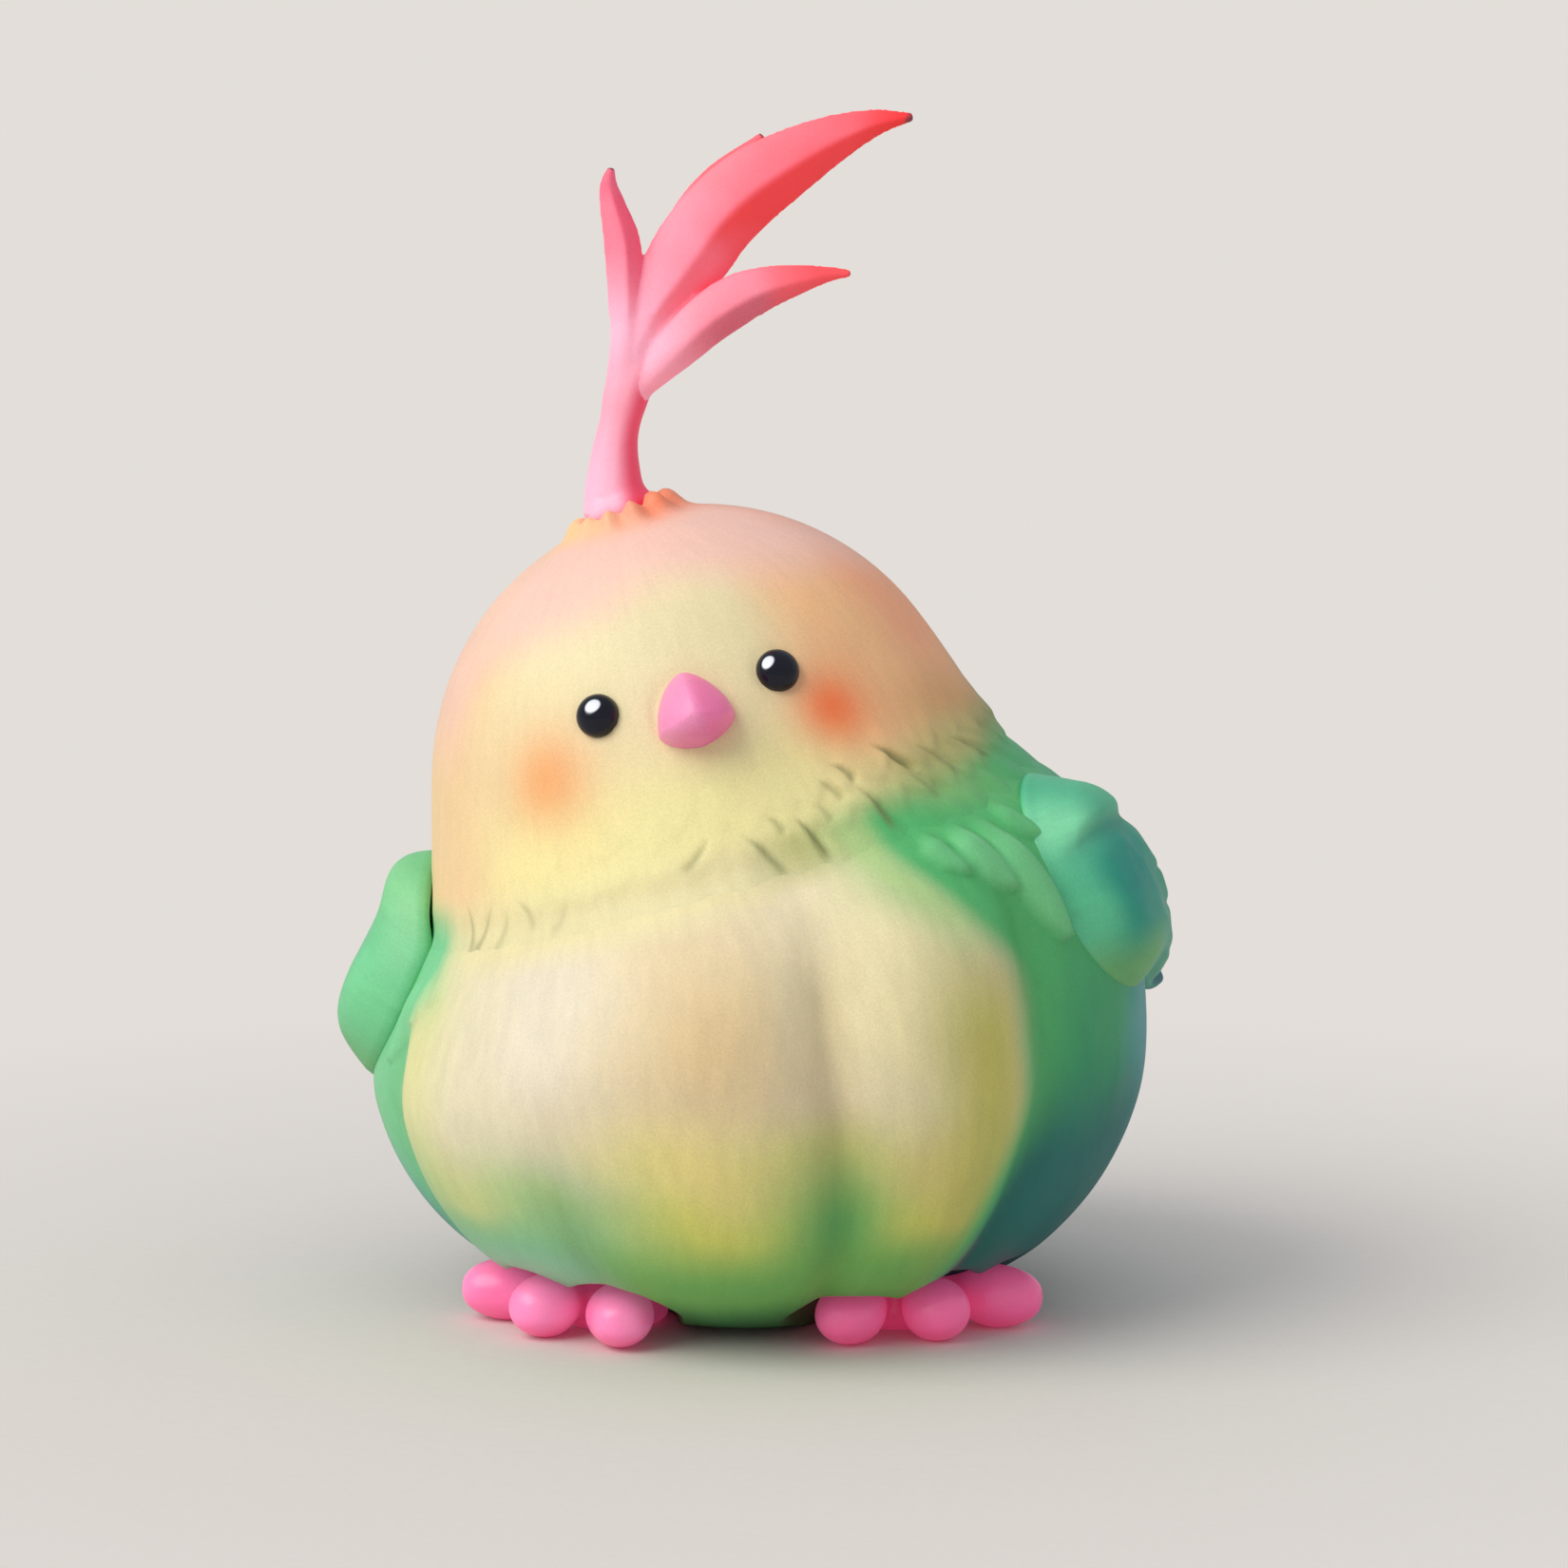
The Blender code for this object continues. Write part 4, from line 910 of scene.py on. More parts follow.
def outer_head(azimuth, arc, relief=0.0):
    """Points of the head's outer skin, in the head's own frame."""
    azimuth, arc = np.broadcast_arrays(azimuth, arc)
    step = 0.2
    slope_r = np.interp(arc + step, ARC, ARC_RADIUS) - np.interp(arc - step, ARC, ARC_RADIUS)
    slope_h = np.interp(arc + step, ARC, ARC_HEIGHT) - np.interp(arc - step, ARC, ARC_HEIGHT)
    size = np.hypot(slope_r, slope_h)
    radius = np.interp(arc, ARC, ARC_RADIUS) - relief * slope_h / size
    height = np.interp(arc, ARC, ARC_HEIGHT) + relief * slope_r / size
    return radius[..., None] * direction(azimuth) + height[..., None] * UP


def face_frame(azimuth, height):
    """The place on the head's skin, and the directions across the face, up it and out of it."""
    arc = arc_at_height(height)
    origin = outer_head(azimuth, arc)
    across = unit(np.cross(UP, direction(azimuth)))
    upward = -unit(outer_head(azimuth, arc + 0.3) - origin)
    return origin, across, upward, np.cross(across, upward)


def face_gap(points, azimuth, height, above=0.0):
    """How far points are from a place on the face, or from a place a little below it."""
    origin, across, upward, _ = face_frame(azimuth, height)
    return np.hypot((points - origin) @ across, (points - origin) @ upward + above)


def face_relief(points):
    """Shallow sockets round the eyes and the beak."""
    relief = -0.15 * bell(face_gap(points, BEAK_AZIMUTH, BEAK_HEIGHT, 0.3), 3.6, 0.4)
    for turn, height in EYE_PLACES.values():
        relief -= 0.16 * bell(face_gap(points, FACE_AZIMUTH + turn, height), EYE_RADIUS + 0.05, 0.3)
    return relief


def paint_cheeks(paint, points):
    for azimuth, height, code, size, cover in CHEEKS:
        in_front = points @ direction(azimuth) > 0.0
        away = face_gap(points, azimuth, height)
        spray(paint, code, cover * bell(away, 0.0, size) * in_front)
        spray(paint, code, CHEEK_HAZE * bell(away, 0.0, CHEEK_HAZE_SIZE * size) * in_front)


def paint_head(azimuth, arc, points):
    """Pink crown, yellow face, peach on the left side, tan on the right, orange cheeks, and painted shade in
    the slits between the tufts.
    """
    mottle = noise(points, 8.0, 15)
    turn = turn_between(azimuth, FACE_AZIMUTH) + 3.0 * mottle
    height = points[..., 2] + 0.8 * mottle
    measures = {
        "arc": arc,
        "turn": turn,
        "side": np.abs(turn),
        "height": height,
        "crown": height + 0.05 * np.abs(turn),
        "from_crest_side": turn_between(azimuth, CREST_SIDE),
    }
    paint = coated(points.shape, HEAD_BASE)
    airbrush(paint, HEAD_COATS, measures)
    paint_cheeks(paint, points)
    airbrush(paint, COLLAR_COATS, measures)
    out = np.linalg.norm(points[..., :2], axis=-1)
    polar = np.degrees(np.arcsin(np.clip(out / BODY_RADIUS, 0.0, 1.0)))
    blend = ramp(arc + 0.8 * mottle, RIM_ARC - 3.6, RIM_ARC + 0.6)[..., None]
    paint += (paint_body(azimuth, polar, head_to_frame(points)) - paint) * blend
    # painted shade in the slits
    spray(paint, SLIT_PAINTED_SHADE, 0.75 * slit_depth(azimuth, arc))
    return paint


def head_rows(azimuth):
    """The outside's azimuths, arc lengths and points, from the crest's seat to the edge of the tufts."""
    fixed_end = RIM_ARC - 9.0
    fixed = np.concatenate([np.linspace(0.0, 6.0, 22), np.linspace(6.0, fixed_end, 44)[1:]])[:, None]
    ragged_end = RIM_ARC + tuft_edge(azimuth)
    share = np.linspace(0.0, 1.0, 64)[1:, None]
    arc = np.concatenate([fixed + 0.0 * azimuth, fixed_end + (ragged_end - fixed_end) * share])
    slant = 1.1 * tuft_strength(azimuth) * np.sin(np.radians(turn_between(azimuth, FACE_AZIMUTH)))
    skewed = azimuth + slant * np.clip(arc - RIM_ARC + 4.0, 0.0, None)
    relief = head_relief(azimuth, arc) + face_relief(outer_head(skewed, arc))
    from_edge = ramp(ragged_end - arc, 0.0, 3.4)
    outer = outer_head(skewed, arc, relief * from_edge)
    under = outer.copy()
    under[..., 2] = over_the_seat(np.linalg.norm(outer[..., :2], axis=-1), EDGE_TOP)
    keep = np.where(arc > RIM_ARC - 2.5, from_edge, 1.0)[..., None]
    return skewed, arc, keep * outer + (1.0 - keep) * under


def hidden_rows(end_radius):
    """Radii and heights along the seat, round the neck's lip, up inside the head and out of its top."""
    rows = []
    for inward in np.linspace(0.0, 1.0, 18):
        radius = end_radius + (NECK_RADIUS - end_radius) * inward
        rise = EDGE_BOTTOM + (EDGE_REST - EDGE_BOTTOM) * ramp(inward, 0.0, 0.3)
        rows.append((radius, over_the_seat(radius, rise)))
    lip_top = over_the_seat(NECK_LIP, -BODY_WALL) - NECK_PLAY
    neck_end = lip_top - 3.2
    rows += [(NECK_RADIUS, over_the_seat(NECK_HOLE, -BODY_WALL) - NECK_PLAY), (NECK_LIP, lip_top),
             (NECK_LIP, lip_top - 0.8), (NECK_RADIUS - 0.4, neck_end), (NECK_BORE, neck_end)]
    for radius in np.linspace(NECK_BORE, RIM[0] - 3.9, 8):
        rows.append((radius, over_the_seat(radius, 2.4)))
    for arc in np.linspace(RIM_ARC - 6.5, 6.0, 14):
        _, front, height = outer_head(0.0, arc, -HEAD_WALL)
        rows.append((abs(front), height))
    return rows + [(PIN_HOLE, DOME_CENTRE + DOME_RADIUS - HEAD_WALL), (PIN_HOLE, SEAT_HEIGHT)]


def make_head(finish):
    azimuth, arc, outer = head_rows(np.linspace(0.0, 360.0, HEAD_COLUMNS, endpoint=False)[None, :])
    end_radius = np.linalg.norm(outer[-1, :, :2], axis=-1)
    outwards = direction(azimuth[-1])
    hidden = []
    for radius, height in hidden_rows(end_radius):
        radius, height = np.broadcast_arrays(radius, height, end_radius)[:2]
        hidden.append(radius[:, None] * outwards + height[:, None] * UP)
    points = np.concatenate([outer, hidden])
    arc = np.concatenate([arc, np.repeat(arc[-1:], len(hidden), axis=0)])
    azimuth = np.concatenate([azimuth, np.repeat(azimuth[-1:], len(hidden), axis=0)])
    paint = paint_head(azimuth, arc, points)
    grain = around(azimuth, arc * 0.25, 29.0)
    add_skin("head_skin", head_to_frame(points), paint, grain, finish, "head", "head_shell", loop=True)


def place_on_face(grid, azimuth, height):
    """Puts a form drawn as across, up and outwards on the face, in the shared frame."""
    origin, across, upward, outward = face_frame(azimuth, height)
    points = origin + grid[..., :1] * across + grid[..., 1:2] * upward + grid[..., 2:] * outward
    return head_to_frame(points)


EYE_TONE = "#0a0f1e"
EYE_BULGE = 0.78
EYE_ROOT = 0.6


def make_eyes(finish):
    angle = circle(96)[None, :]
    lift = np.radians(np.linspace(0.0, 88.0, 40))[:, None]
    radius = EYE_RADIUS * np.concatenate([[[1.0]], np.cos(lift)])
    out = np.concatenate([[[-EYE_ROOT]], EYE_BULGE * EYE_RADIUS * np.sin(lift)])
    grid = np.stack([radius * np.cos(angle), radius * np.sin(angle), out + 0.0 * angle], axis=-1)
    for side, (turn, height) in EYE_PLACES.items():
        points = place_on_face(grid, FACE_AZIMUTH + turn, height)
        paint = coated(grid.shape, EYE_TONE)
        add_skin(f"eye_bead_{side}", points, paint, grid, finish, "head", f"eye_{side}")


BEAK_HALF_WIDTH = 3.55
BEAK_ABOVE = 4.9
BEAK_BELOW = 2.1
BEAK_DROP = 1.35
BEAK_DROOP = 1.5
BEAK_SHARPNESS = 1.22
BEAK_BASE = "#f290bd"
# Painted shade: a deeper pink on the side towards the bird's left and a darker magenta underneath, the faces
# turned from the light.
BEAK_SHADE_COATS = (
    ("#fb76ae", 0.8, (ramp, "across", -0.2, 1.2)),
    ("#e060a0", 0.6, (ramp, "up", -2.2, -3.4)),
)


def make_beak(finish):
    """A soft kite with a ridge down its middle, that swells to a blunt tip low on its face."""
    angle = circle(120)[None, :]
    share = np.concatenate([[-0.16, -0.08], np.linspace(0.0, 0.995, 56)])[:, None]
    inside = np.clip(share, 0.0, 1.0)
    swell = (1.0 - inside**1.9) ** 0.62
    across = BEAK_HALF_WIDTH * signed_power(np.cos(angle), BEAK_SHARPNESS)
    rise = signed_power(np.sin(angle), BEAK_SHARPNESS)
    rise = np.where(rise > 0.0, BEAK_ABOVE * rise, BEAK_BELOW * rise) - BEAK_DROP
    up = rise * swell - BEAK_DROOP * inside**1.4
    grid = np.stack([across * swell, up, BEAK_REACH * share + 0.0 * angle], axis=-1)
    grid = grid + 0.05 * noise(grid, 2.0, 18)[..., None]
    paint = coated(grid.shape, BEAK_BASE)
    airbrush(paint, BEAK_SHADE_COATS, {"across": grid[..., 0], "up": grid[..., 1]})
    points = place_on_face(grid, BEAK_AZIMUTH, BEAK_HEIGHT)
    add_skin("beak_cone", points, paint, grid, finish, "head", "beak")


# ---------------------------------------------------------------- crest

# Each blade's spine is drawn upright from the middle of the seat: its place across the lean, along
# the lean's hinge and up, then the blade's width and its thickness there.
SPINES = {
    "stem": ((-0.5, 0.0, 0.5, 6.4, 6.2), (-0.6, 0.0, 1.7, 6.0, 5.6), (-0.75, 0.0, 3.4, 5.4, 5.2),
             (-0.6, 0.0, 6.6, 4.3, 4.5), (-0.15, 0.0, 9.0, 3.9, 4.1), (0.4, 0.0, 11.4, 4.4, 4.0),
             (1.2, 0.0, 14.0, 4.2, 3.4), (2.2, 0.0, 17.0, 1.6, 1.4)),
    "great": ((-0.1, 0.0, 9.0, 1.2, 1.2), (0.5, 0.0, 13.0, 3.0, 2.8), (1.5, 0.0, 16.6, 4.0, 3.2),
              (3.1, 0.0, 19.8, 5.4, 3.6), (6.2, 0.0, 24.2, 7.2, 3.9), (8.8, 0.0, 27.7, 7.2, 3.7),
              (11.6, 0.0, 30.4, 7.0, 3.5), (14.8, 0.0, 32.6, 6.3, 3.0), (19.3, 0.0, 35.1, 4.6, 2.2),
              (23.6, 0.0, 36.8, 2.6, 1.4), (27.3, 0.0, 37.4, 0.8, 0.8)),
    "back": ((3.0, -0.8, 20.0, 1.2, 1.0), (5.6, -1.8, 26.6, 3.4, 2.4), (8.8, -2.2, 31.3, 3.0, 2.2),
             (13.3, -2.2, 35.7, 0.8, 0.8)),
    "inner": ((-0.2, 0.3, 8.5, 1.4, 1.4), (0.0, 0.4, 12.4, 2.9, 2.6), (0.35, 0.4, 16.5, 2.9, 2.8),
              (0.4, 0.4, 20.4, 3.2, 2.6), (0.15, 0.4, 25.5, 3.4, 2.2), (-0.7, 0.4, 29.0, 2.5, 1.7),
              (-1.1, 0.4, 30.9, 1.8, 1.2), (-0.9, 0.4, 32.7, 0.7, 0.7)),
    "outer": ((0.2, 0.0, 8.5, 0.9, 0.9), (1.0, 0.2, 11.0, 1.8, 1.8), (2.5, 0.6, 13.1, 3.0, 2.6),
              (5.2, 1.2, 15.9, 4.2, 3.0), (8.0, 1.4, 18.5, 4.8, 2.9), (10.9, 1.4, 20.4, 4.8, 2.6),
              (13.4, 1.4, 21.5, 4.0, 2.1), (16.5, 1.4, 22.3, 2.8, 1.6), (19.4, 1.4, 22.8, 1.5, 1.0),
              (21.5, 1.4, 22.9, 0.7, 0.7)),
}
STATIONS_PER_POINT = 14
THINNEST = 0.5

# How sharp each blade's edges and ridges are. The ridges lie a little to the lower edge's side.
BLADE_POWER = {"stem": 1.0, "great": 1.65, "back": 1.4, "inner": 1.5, "outer": 1.55}
RIDGE_SHIFT = 0.16

# The swollen foot of the stem: heights and radii.
ROOT_RINGS = ((0.3, 3.1), (0.7, 3.35), (1.3, 3.3), (2.2, 2.9), (3.2, 2.2))
ROOT_LOBES = 6.0
CREST_VOXEL = 0.17

# The measures: along a blade from 0 to 1, the same with some mottle, across it from its lower edge at
# -1 to its upper edge at 1, and the rise over the seat.
CREST_BASE = "#ffb8d2"
STEM_COATS = (("#ffa2b8", 1.0, (bell, "rise", 10.5, 5.0)),)
# The coats that read the side darken one side of the stem and the lower side of each blade: partly the
# crest's own two-tone paint, partly painted shade on faces turned from the light.
BLADE_COATS = {
    "stem": (("#f0486a", 1.0, (ramp, "side", 0.1, -0.75), (ramp, "rise", 17.0, 11.0)),),
    "great": (
        ("#ff8ea6", 1.0, (ramp, "along", 0.15, 0.4)),
        ("#ff7688", 1.0, (ramp, "uneven", 0.35, 0.62)),
        ("#ff6472", 1.0, (ramp, "uneven", 0.62, 0.85)),
        ("#fb6c80", 1.0, (ramp, "side", 0.0, -0.34), (ramp, "along", 0.2, 0.4)),
        ("#fb4046", 1.0, (ramp, "side", 0.0, -0.34), (ramp, "uneven", 0.36, 0.6)),
        ("#f82c30", 1.0, (ramp, "uneven", 0.8, 1.0)),
    ),
    "back": (("#f8606e", 1.0, (ramp, "along", 0.1, 0.7)),),
    "inner": (
        ("#ff8098", 1.0, (ramp, "along", 0.3, 0.6)),
        ("#ee5a78", 1.0, (ramp, "side", 0.0, -0.34), (ramp, "along", 0.3, 0.6)),
        ("#ea6482", 1.0, (ramp, "uneven", 0.75, 0.95)),
    ),
    "outer": (
        ("#fa8a9e", 1.0, (ramp, "along", 0.2, 0.5)),
        ("#d86478", 1.0, (ramp, "side", 0.0, -0.34), (ramp, "along", 0.25, 0.5)),
        ("#fb5059", 1.0, (ramp, "uneven", 0.58, 0.9)),
    ),
}
# Painted shade: a dark end at each blade's tip.
BLADE_TIP_SHADE = "#6b3440"


def spine_rows(spine):
    """Catmull-Rom stations through a spine's points."""
    spine = np.array(spine)
    ends = np.vstack([2 * spine[0] - spine[1], spine, 2 * spine[-1] - spine[-2]])
    t = np.linspace(0.0, 1.0, STATIONS_PER_POINT, endpoint=False)[:, None]
    rows = []
    for a, b, c, d in zip(ends, ends[1:], ends[2:], ends[3:]):
        rows.append(0.5 * (2 * b + (c - a) * t + (2 * a - 5 * b + 4 * c - d) * t**2
                           + (3 * b - a - 3 * c + d) * t**3))
    rows.append(spine[-1:])
    return np.vstack(rows)


def blade_stations(spine):
    """Centres, side directions, depth directions, widths and thicknesses along a spine."""
    rows = spine_rows(spine)
    centres = CREST_SEAT - rows[:, :1] * LEAN_DIRECTION + rows[:, 1:2] * LEAN_HINGE + rows[:, 2:3] * UP
    tangents = np.gradient(centres, axis=0)
    tangents /= np.linalg.norm(tangents, axis=1)[:, None]
    wide = np.cross(LEAN_HINGE, tangents)
    wide /= np.linalg.norm(wide, axis=1)[:, None]
    deep = np.cross(tangents, wide)
    return centres, wide, deep, np.maximum(rows[:, 3], THINNEST), np.maximum(rows[:, 4], THINNEST)


def blade_rings(name):
    """Soft lens sections with a ridge down each face. The stem's are round."""
    centres, wide, deep, width, thickness = blade_stations(SPINES[name])
    angle = circle(48)
    power = BLADE_POWER[name]
    depth = signed_power(np.sin(angle), power)
    across = signed_power(np.cos(angle), power)
    if name != "stem":
        across -= RIDGE_SHIFT * np.sqrt(np.abs(depth)) * (1.0 - np.abs(across))
    half_fill = 0.5 * (1.0 + 0.10 * (power - 1.0))
    sideways = np.multiply.outer(width * half_fill, across)[..., None] * wide[:, None, :]
    inwards = np.multiply.outer(thickness * half_fill, depth)[..., None] * deep[:, None, :]
    return centres[:, None, :] + sideways + inwards


def crest_root():
    """The swollen foot of the stem, with soft lobes where it meets the head."""
    angle = circle(72)
    rings = []
    for height, radius in ROOT_RINGS:
        lobed = radius * (1.0 + 0.07 * np.cos(ROOT_LOBES * angle) * (1.0 - height / 3.4))
        ring = np.stack([lobed * np.cos(angle), lobed * np.sin(angle), height + 0.0 * angle], axis=-1)
        rings.append(CREST_SEAT + turned(ring, LEAN_HINGE, LEAN))
    return rings


def nearest_blades(points):
    """For each point the number of its blade, its place along that blade, and its place across it."""
    best = np.full(len(points), np.inf)
    along, side, blade = np.zeros((3, len(points)))
    each = np.arange(len(points))
    for number, spine in enumerate(SPINES.values()):
        centres, wide, _, width, _ = blade_stations(spine)
        gaps = points[:, None, :] - centres[None, :, :]
        away = np.linalg.norm(gaps, axis=2) / (width / 2 + 0.4)
        nearest = away.argmin(axis=1)
        closer = away[each, nearest] < best
        offset = np.einsum("ij,ij->i", gaps[each, nearest], wide[nearest])
        best = np.where(closer, away[each, nearest], best)
        along = np.where(closer, nearest / (len(centres) - 1), along)
        side = np.where(closer, offset / (width[nearest] / 2), side)
        blade = np.where(closer, number, blade)
    return blade, along, side


def paint_crest(points):
    """Pale pink at the root, coral red at the tips, darker lower faces along the ridges that are partly
    two-tone paint and partly painted shade, and painted shade at the very tips.
    """
    blade, along, side = nearest_blades(points)
    mottle = 0.06 * noise(points, 3.0, 23)
    rise = points[:, 2] - CREST_SEAT[2]
    measures = {"along": along, "uneven": along + mottle, "side": side, "rise": rise}
    paint = coated(points.shape, CREST_BASE)
    airbrush(paint, STEM_COATS, measures)
    for number, name in enumerate(SPINES):
        airbrush(paint, BLADE_COATS[name], measures, blade == number)
        if name != "stem":
            spray(paint, BLADE_TIP_SHADE, 0.9 * (blade == number) * ramp(along + 0.5 * mottle, 0.975, 0.995))
    return paint


def make_crest(finish):
    parts = [loft(blade_rings(name)) for name in SPINES]
    parts.append(loft(crest_root()))
    mesh, _ = fused("crest_plume", parts, CREST_VOXEL, 9)
    points = soften_between(mesh, CREST_SEAT[2] + 2.5, CREST_SEAT[2] + 19.0, 28)
    add_piece("crest_plume", mesh, paint_crest(points), points * (1.0, 1.0, 0.3), finish, "crest", "crest")


# ---------------------------------------------------------------- wings

# Each wing's outline, and how many columns it has.
WING_SHOULDER = 11.0
WING_RISE = 3.0
WING_TIP_REACH = 14.0
WING_TIP_ANGLE = -24.0
WING_TIP_POWER = 7
WING_COLUMNS = 360

# The skin follows the CAD wing. It is evened over some columns and rows, and its back is tucked in.
WING_EVENING = {"left": (16, 5), "right": (40, 12)}
WING_BACK_EVENING = (12, 4)
WING_TUCK = {"left": 1.5, "right": 3.1}
WING_THICKNESS = 3.4
WING_THINNEST = 0.45
SAFE_REACH = 0.965
RAY_START = 60.0
UNDER_STEP = 3

# Grooves between the feathers fan out from a place ahead of the wing. Their angles and depth.
FAN_CENTRE = (-14.0, -4.0)
FEATHER_LINES = (-24.0, -13.0, -3.0, 7.0)
FEATHER_GROOVE = 0.24
COVERT_HEIGHT = 7.2

WING_BASE = {"left": "#5fca98", "right": "#6bc488"}
WING_COATS = {
    "left": (
        ("#1fa184", 1.0, (ramp, "back", -10.0, -5.0), (linear, "below_coverts", 0.0, 1.0)),
        ("#0f9688", 1.0, (bell, "back", -2.5, 4.5), (bell, "up", 2.5, 4.5)),
        # painted highlight on the top of the wing
        ("#82dcab", 1.0, (bell, "back", -8.0, 3.0), (bell, "up", 9.0, 2.5)),
        ("#74b566", 0.8, (ramp, "up", -1.5, -6.0), (ramp, "back", 4.0, -3.0)),
    ),
    "right": (
        # painted highlight at the wing's front
        ("#8cf0b4", 0.3, (bell, "back", -8.0, 3.6), (bell, "up", 2.5, 6.0)),
        ("#5cc88c", 1.0, (bell, "back", 0.5, 5.0), (bell, "up", 1.5, 5.5)),
        ("#6db46e", 0.8, (ramp, "up", -2.5, -7.0), (ramp, "back", 5.0, -3.0)),
        ("#86d193", 0.8, (bell, "up", 10.5, 2.6), (ramp, "back", 6.0, -3.0)),
    ),
}
WING_TIP_COATS = (
    ("#27a27a", 0.9, (ramp, "back", 2.0, 9.0)),
    ("#168a84", 0.9, (ramp, "back", 8.0, 14.0)),
    ("#246f93", 0.8, (ramp, "back", 13.0, 22.0)),
    # painted shade in the feather grooves
    ("#1b7f6a", 0.35, (linear, "relief", 0.0, -0.6)),
)


def wing_outline(angle):
    """The wing's reach from the middle of its shoulder, measured from towards-the-tail to up."""
    away = np.abs(turn_between(angle, WING_TIP_ANGLE))
    narrow = np.cos(np.radians(np.minimum(away * 1.125, 90.0)))
    return WING_SHOULDER + WING_TIP_REACH * narrow**WING_TIP_POWER


def wing_flat(angle, length):
    """Places towards the tail and up the wing, from angles and reaches round its shoulder."""
    return length * np.cos(np.radians(angle)), WING_RISE + length * np.sin(np.radians(angle))


def wing_axes(side):
    """The middle of the wing's pin, and the directions towards the tail, up the wing and outwards."""
    sign = 1.0 if side == "left" else -1.0
    outward = unit(joint_axis(f"wing_{side}_swing"))
    if outward[0] * sign < 0.0:
        outward = -outward
    back = unit(BACKWARD - (BACKWARD @ outward) * outward)
    return joint_place(f"wing_{side}_swing"), back, np.cross(outward, back) * sign, outward


def on_wing(axes, back, up, out):
    """Points in the frame from places towards the tail, up the wing and outwards."""
    origin, back_axis, up_axis, outward = axes
    return origin + back[..., None] * back_axis + up[..., None] * up_axis + out[..., None] * outward


def cad_heights(tree, axes, back, up, start):
    """Where lines along the wing's pin first meet the CAD wing, from outside or from inside."""
    origin, outward = axes[0], axes[3]
    starts = on_wing(axes, back, up, np.full(back.shape, start)) * MM
    ahead = Vector(-math.copysign(1.0, start) * outward)
    heights = np.full(back.shape, np.nan)
    for place in np.ndindex(back.shape):
        hit = tree.ray_cast(Vector(starts[place]), ahead)[0]
        if hit:
            heights[place] = (np.array(hit) / MM - origin) @ outward
    return np.where(np.isnan(heights), np.nanmean(heights), heights)


def averaged(lines, reach):
    """Averages each line of values over a few neighbours. Each line gets shorter by them."""
    window = np.hanning(2 * reach + 3)[1:-1]
    window /= window.sum()
    return np.array([np.convolve(line, window, "valid") for line in lines])


def smooth_around(grid, turns, across):
    """Averages a polar grid of heights over some columns and rows to each side."""
    grid = averaged(np.concatenate([grid[:, -turns:], grid, grid[:, :turns]], axis=1), turns)
    padded = np.pad(grid, ((across, across), (0, 0)), mode="reflect", reflect_type="odd")
    return averaged(padded.T, across).T


def wing_relief(side, back, up, reach):
    """A covert band over the left wing's top, and feather grooves towards the tip of both."""
    relief = np.zeros(back.shape)
    if side == "left":
        band = up - COVERT_HEIGHT - 0.10 * back + 0.5 * np.sin(back * 0.35)
        relief += 0.5 * ramp(band, 0.0, 2.0) * ramp(band, 6.5, 3.4) - 0.5 * bell(band, 0.0, 1.2)
        relief *= ramp(reach, 0.97, 0.72)
    fan = np.degrees(np.arctan2(up - WING_RISE - FAN_CENTRE[1], back - FAN_CENTRE[0]))
    depth = FEATHER_GROOVE * ramp(back, 2.0, 9.0)
    for line in FEATHER_LINES:
        relief += 0.25 * depth * bell(fan - line, 2.2, 2.0) - depth * bell(fan - line, 0.0, 1.3)
    hand = np.stack([back, up, 0.0 * back], axis=-1)
    return relief * (0.35 + 0.65 * ramp(reach, 1.0, 0.9)) + 0.10 * noise(hand, 4.5, 27)


def paint_wing(side, back, up, relief):
    """Pale green at the front edge and top, teal in the middle, blue-green towards the tip, with painted
    highlights on the left wing's top and the right wing's front and painted shade in the feather grooves.
    """
    mottle = noise(np.stack([back, up, 0.0 * back], axis=-1), 5.0, 33)
    back = back + mottle
    up = up + 0.8 * mottle
    below_coverts = 1.0 - 0.75 * ramp(up, 6.0, 9.0)
    measures = {"back": back, "up": up, "relief": relief, "below_coverts": below_coverts}
    paint = coated(back.shape + (3,), WING_BASE[side])
    airbrush(paint, WING_COATS[side], measures)
    airbrush(paint, WING_TIP_COATS, measures)
    return paint


def cad_wing_skin(side, axes, angle, length):
    """The outer and inner heights of the CAD wing, evened out. Past a safe reach they stay level."""
    cad_wing = frame["nodes"][f"wing_{side}"].data
    corners = [corner.co for corner in cad_wing.vertices]
    tree = BVHTree.FromPolygons(corners, [polygon.vertices for polygon in cad_wing.polygons])
    back, up = wing_flat(angle, np.minimum(length, SAFE_REACH * wing_outline(angle)))
    outer = cad_heights(tree, axes, back, up, RAY_START)
    inner = cad_heights(tree, axes, back, up, -RAY_START)
    inner = np.maximum(inner, outer - WING_THICKNESS) - WING_TUCK[side]
    return smooth_around(outer, *WING_EVENING[side]), smooth_around(inner, *WING_BACK_EVENING)


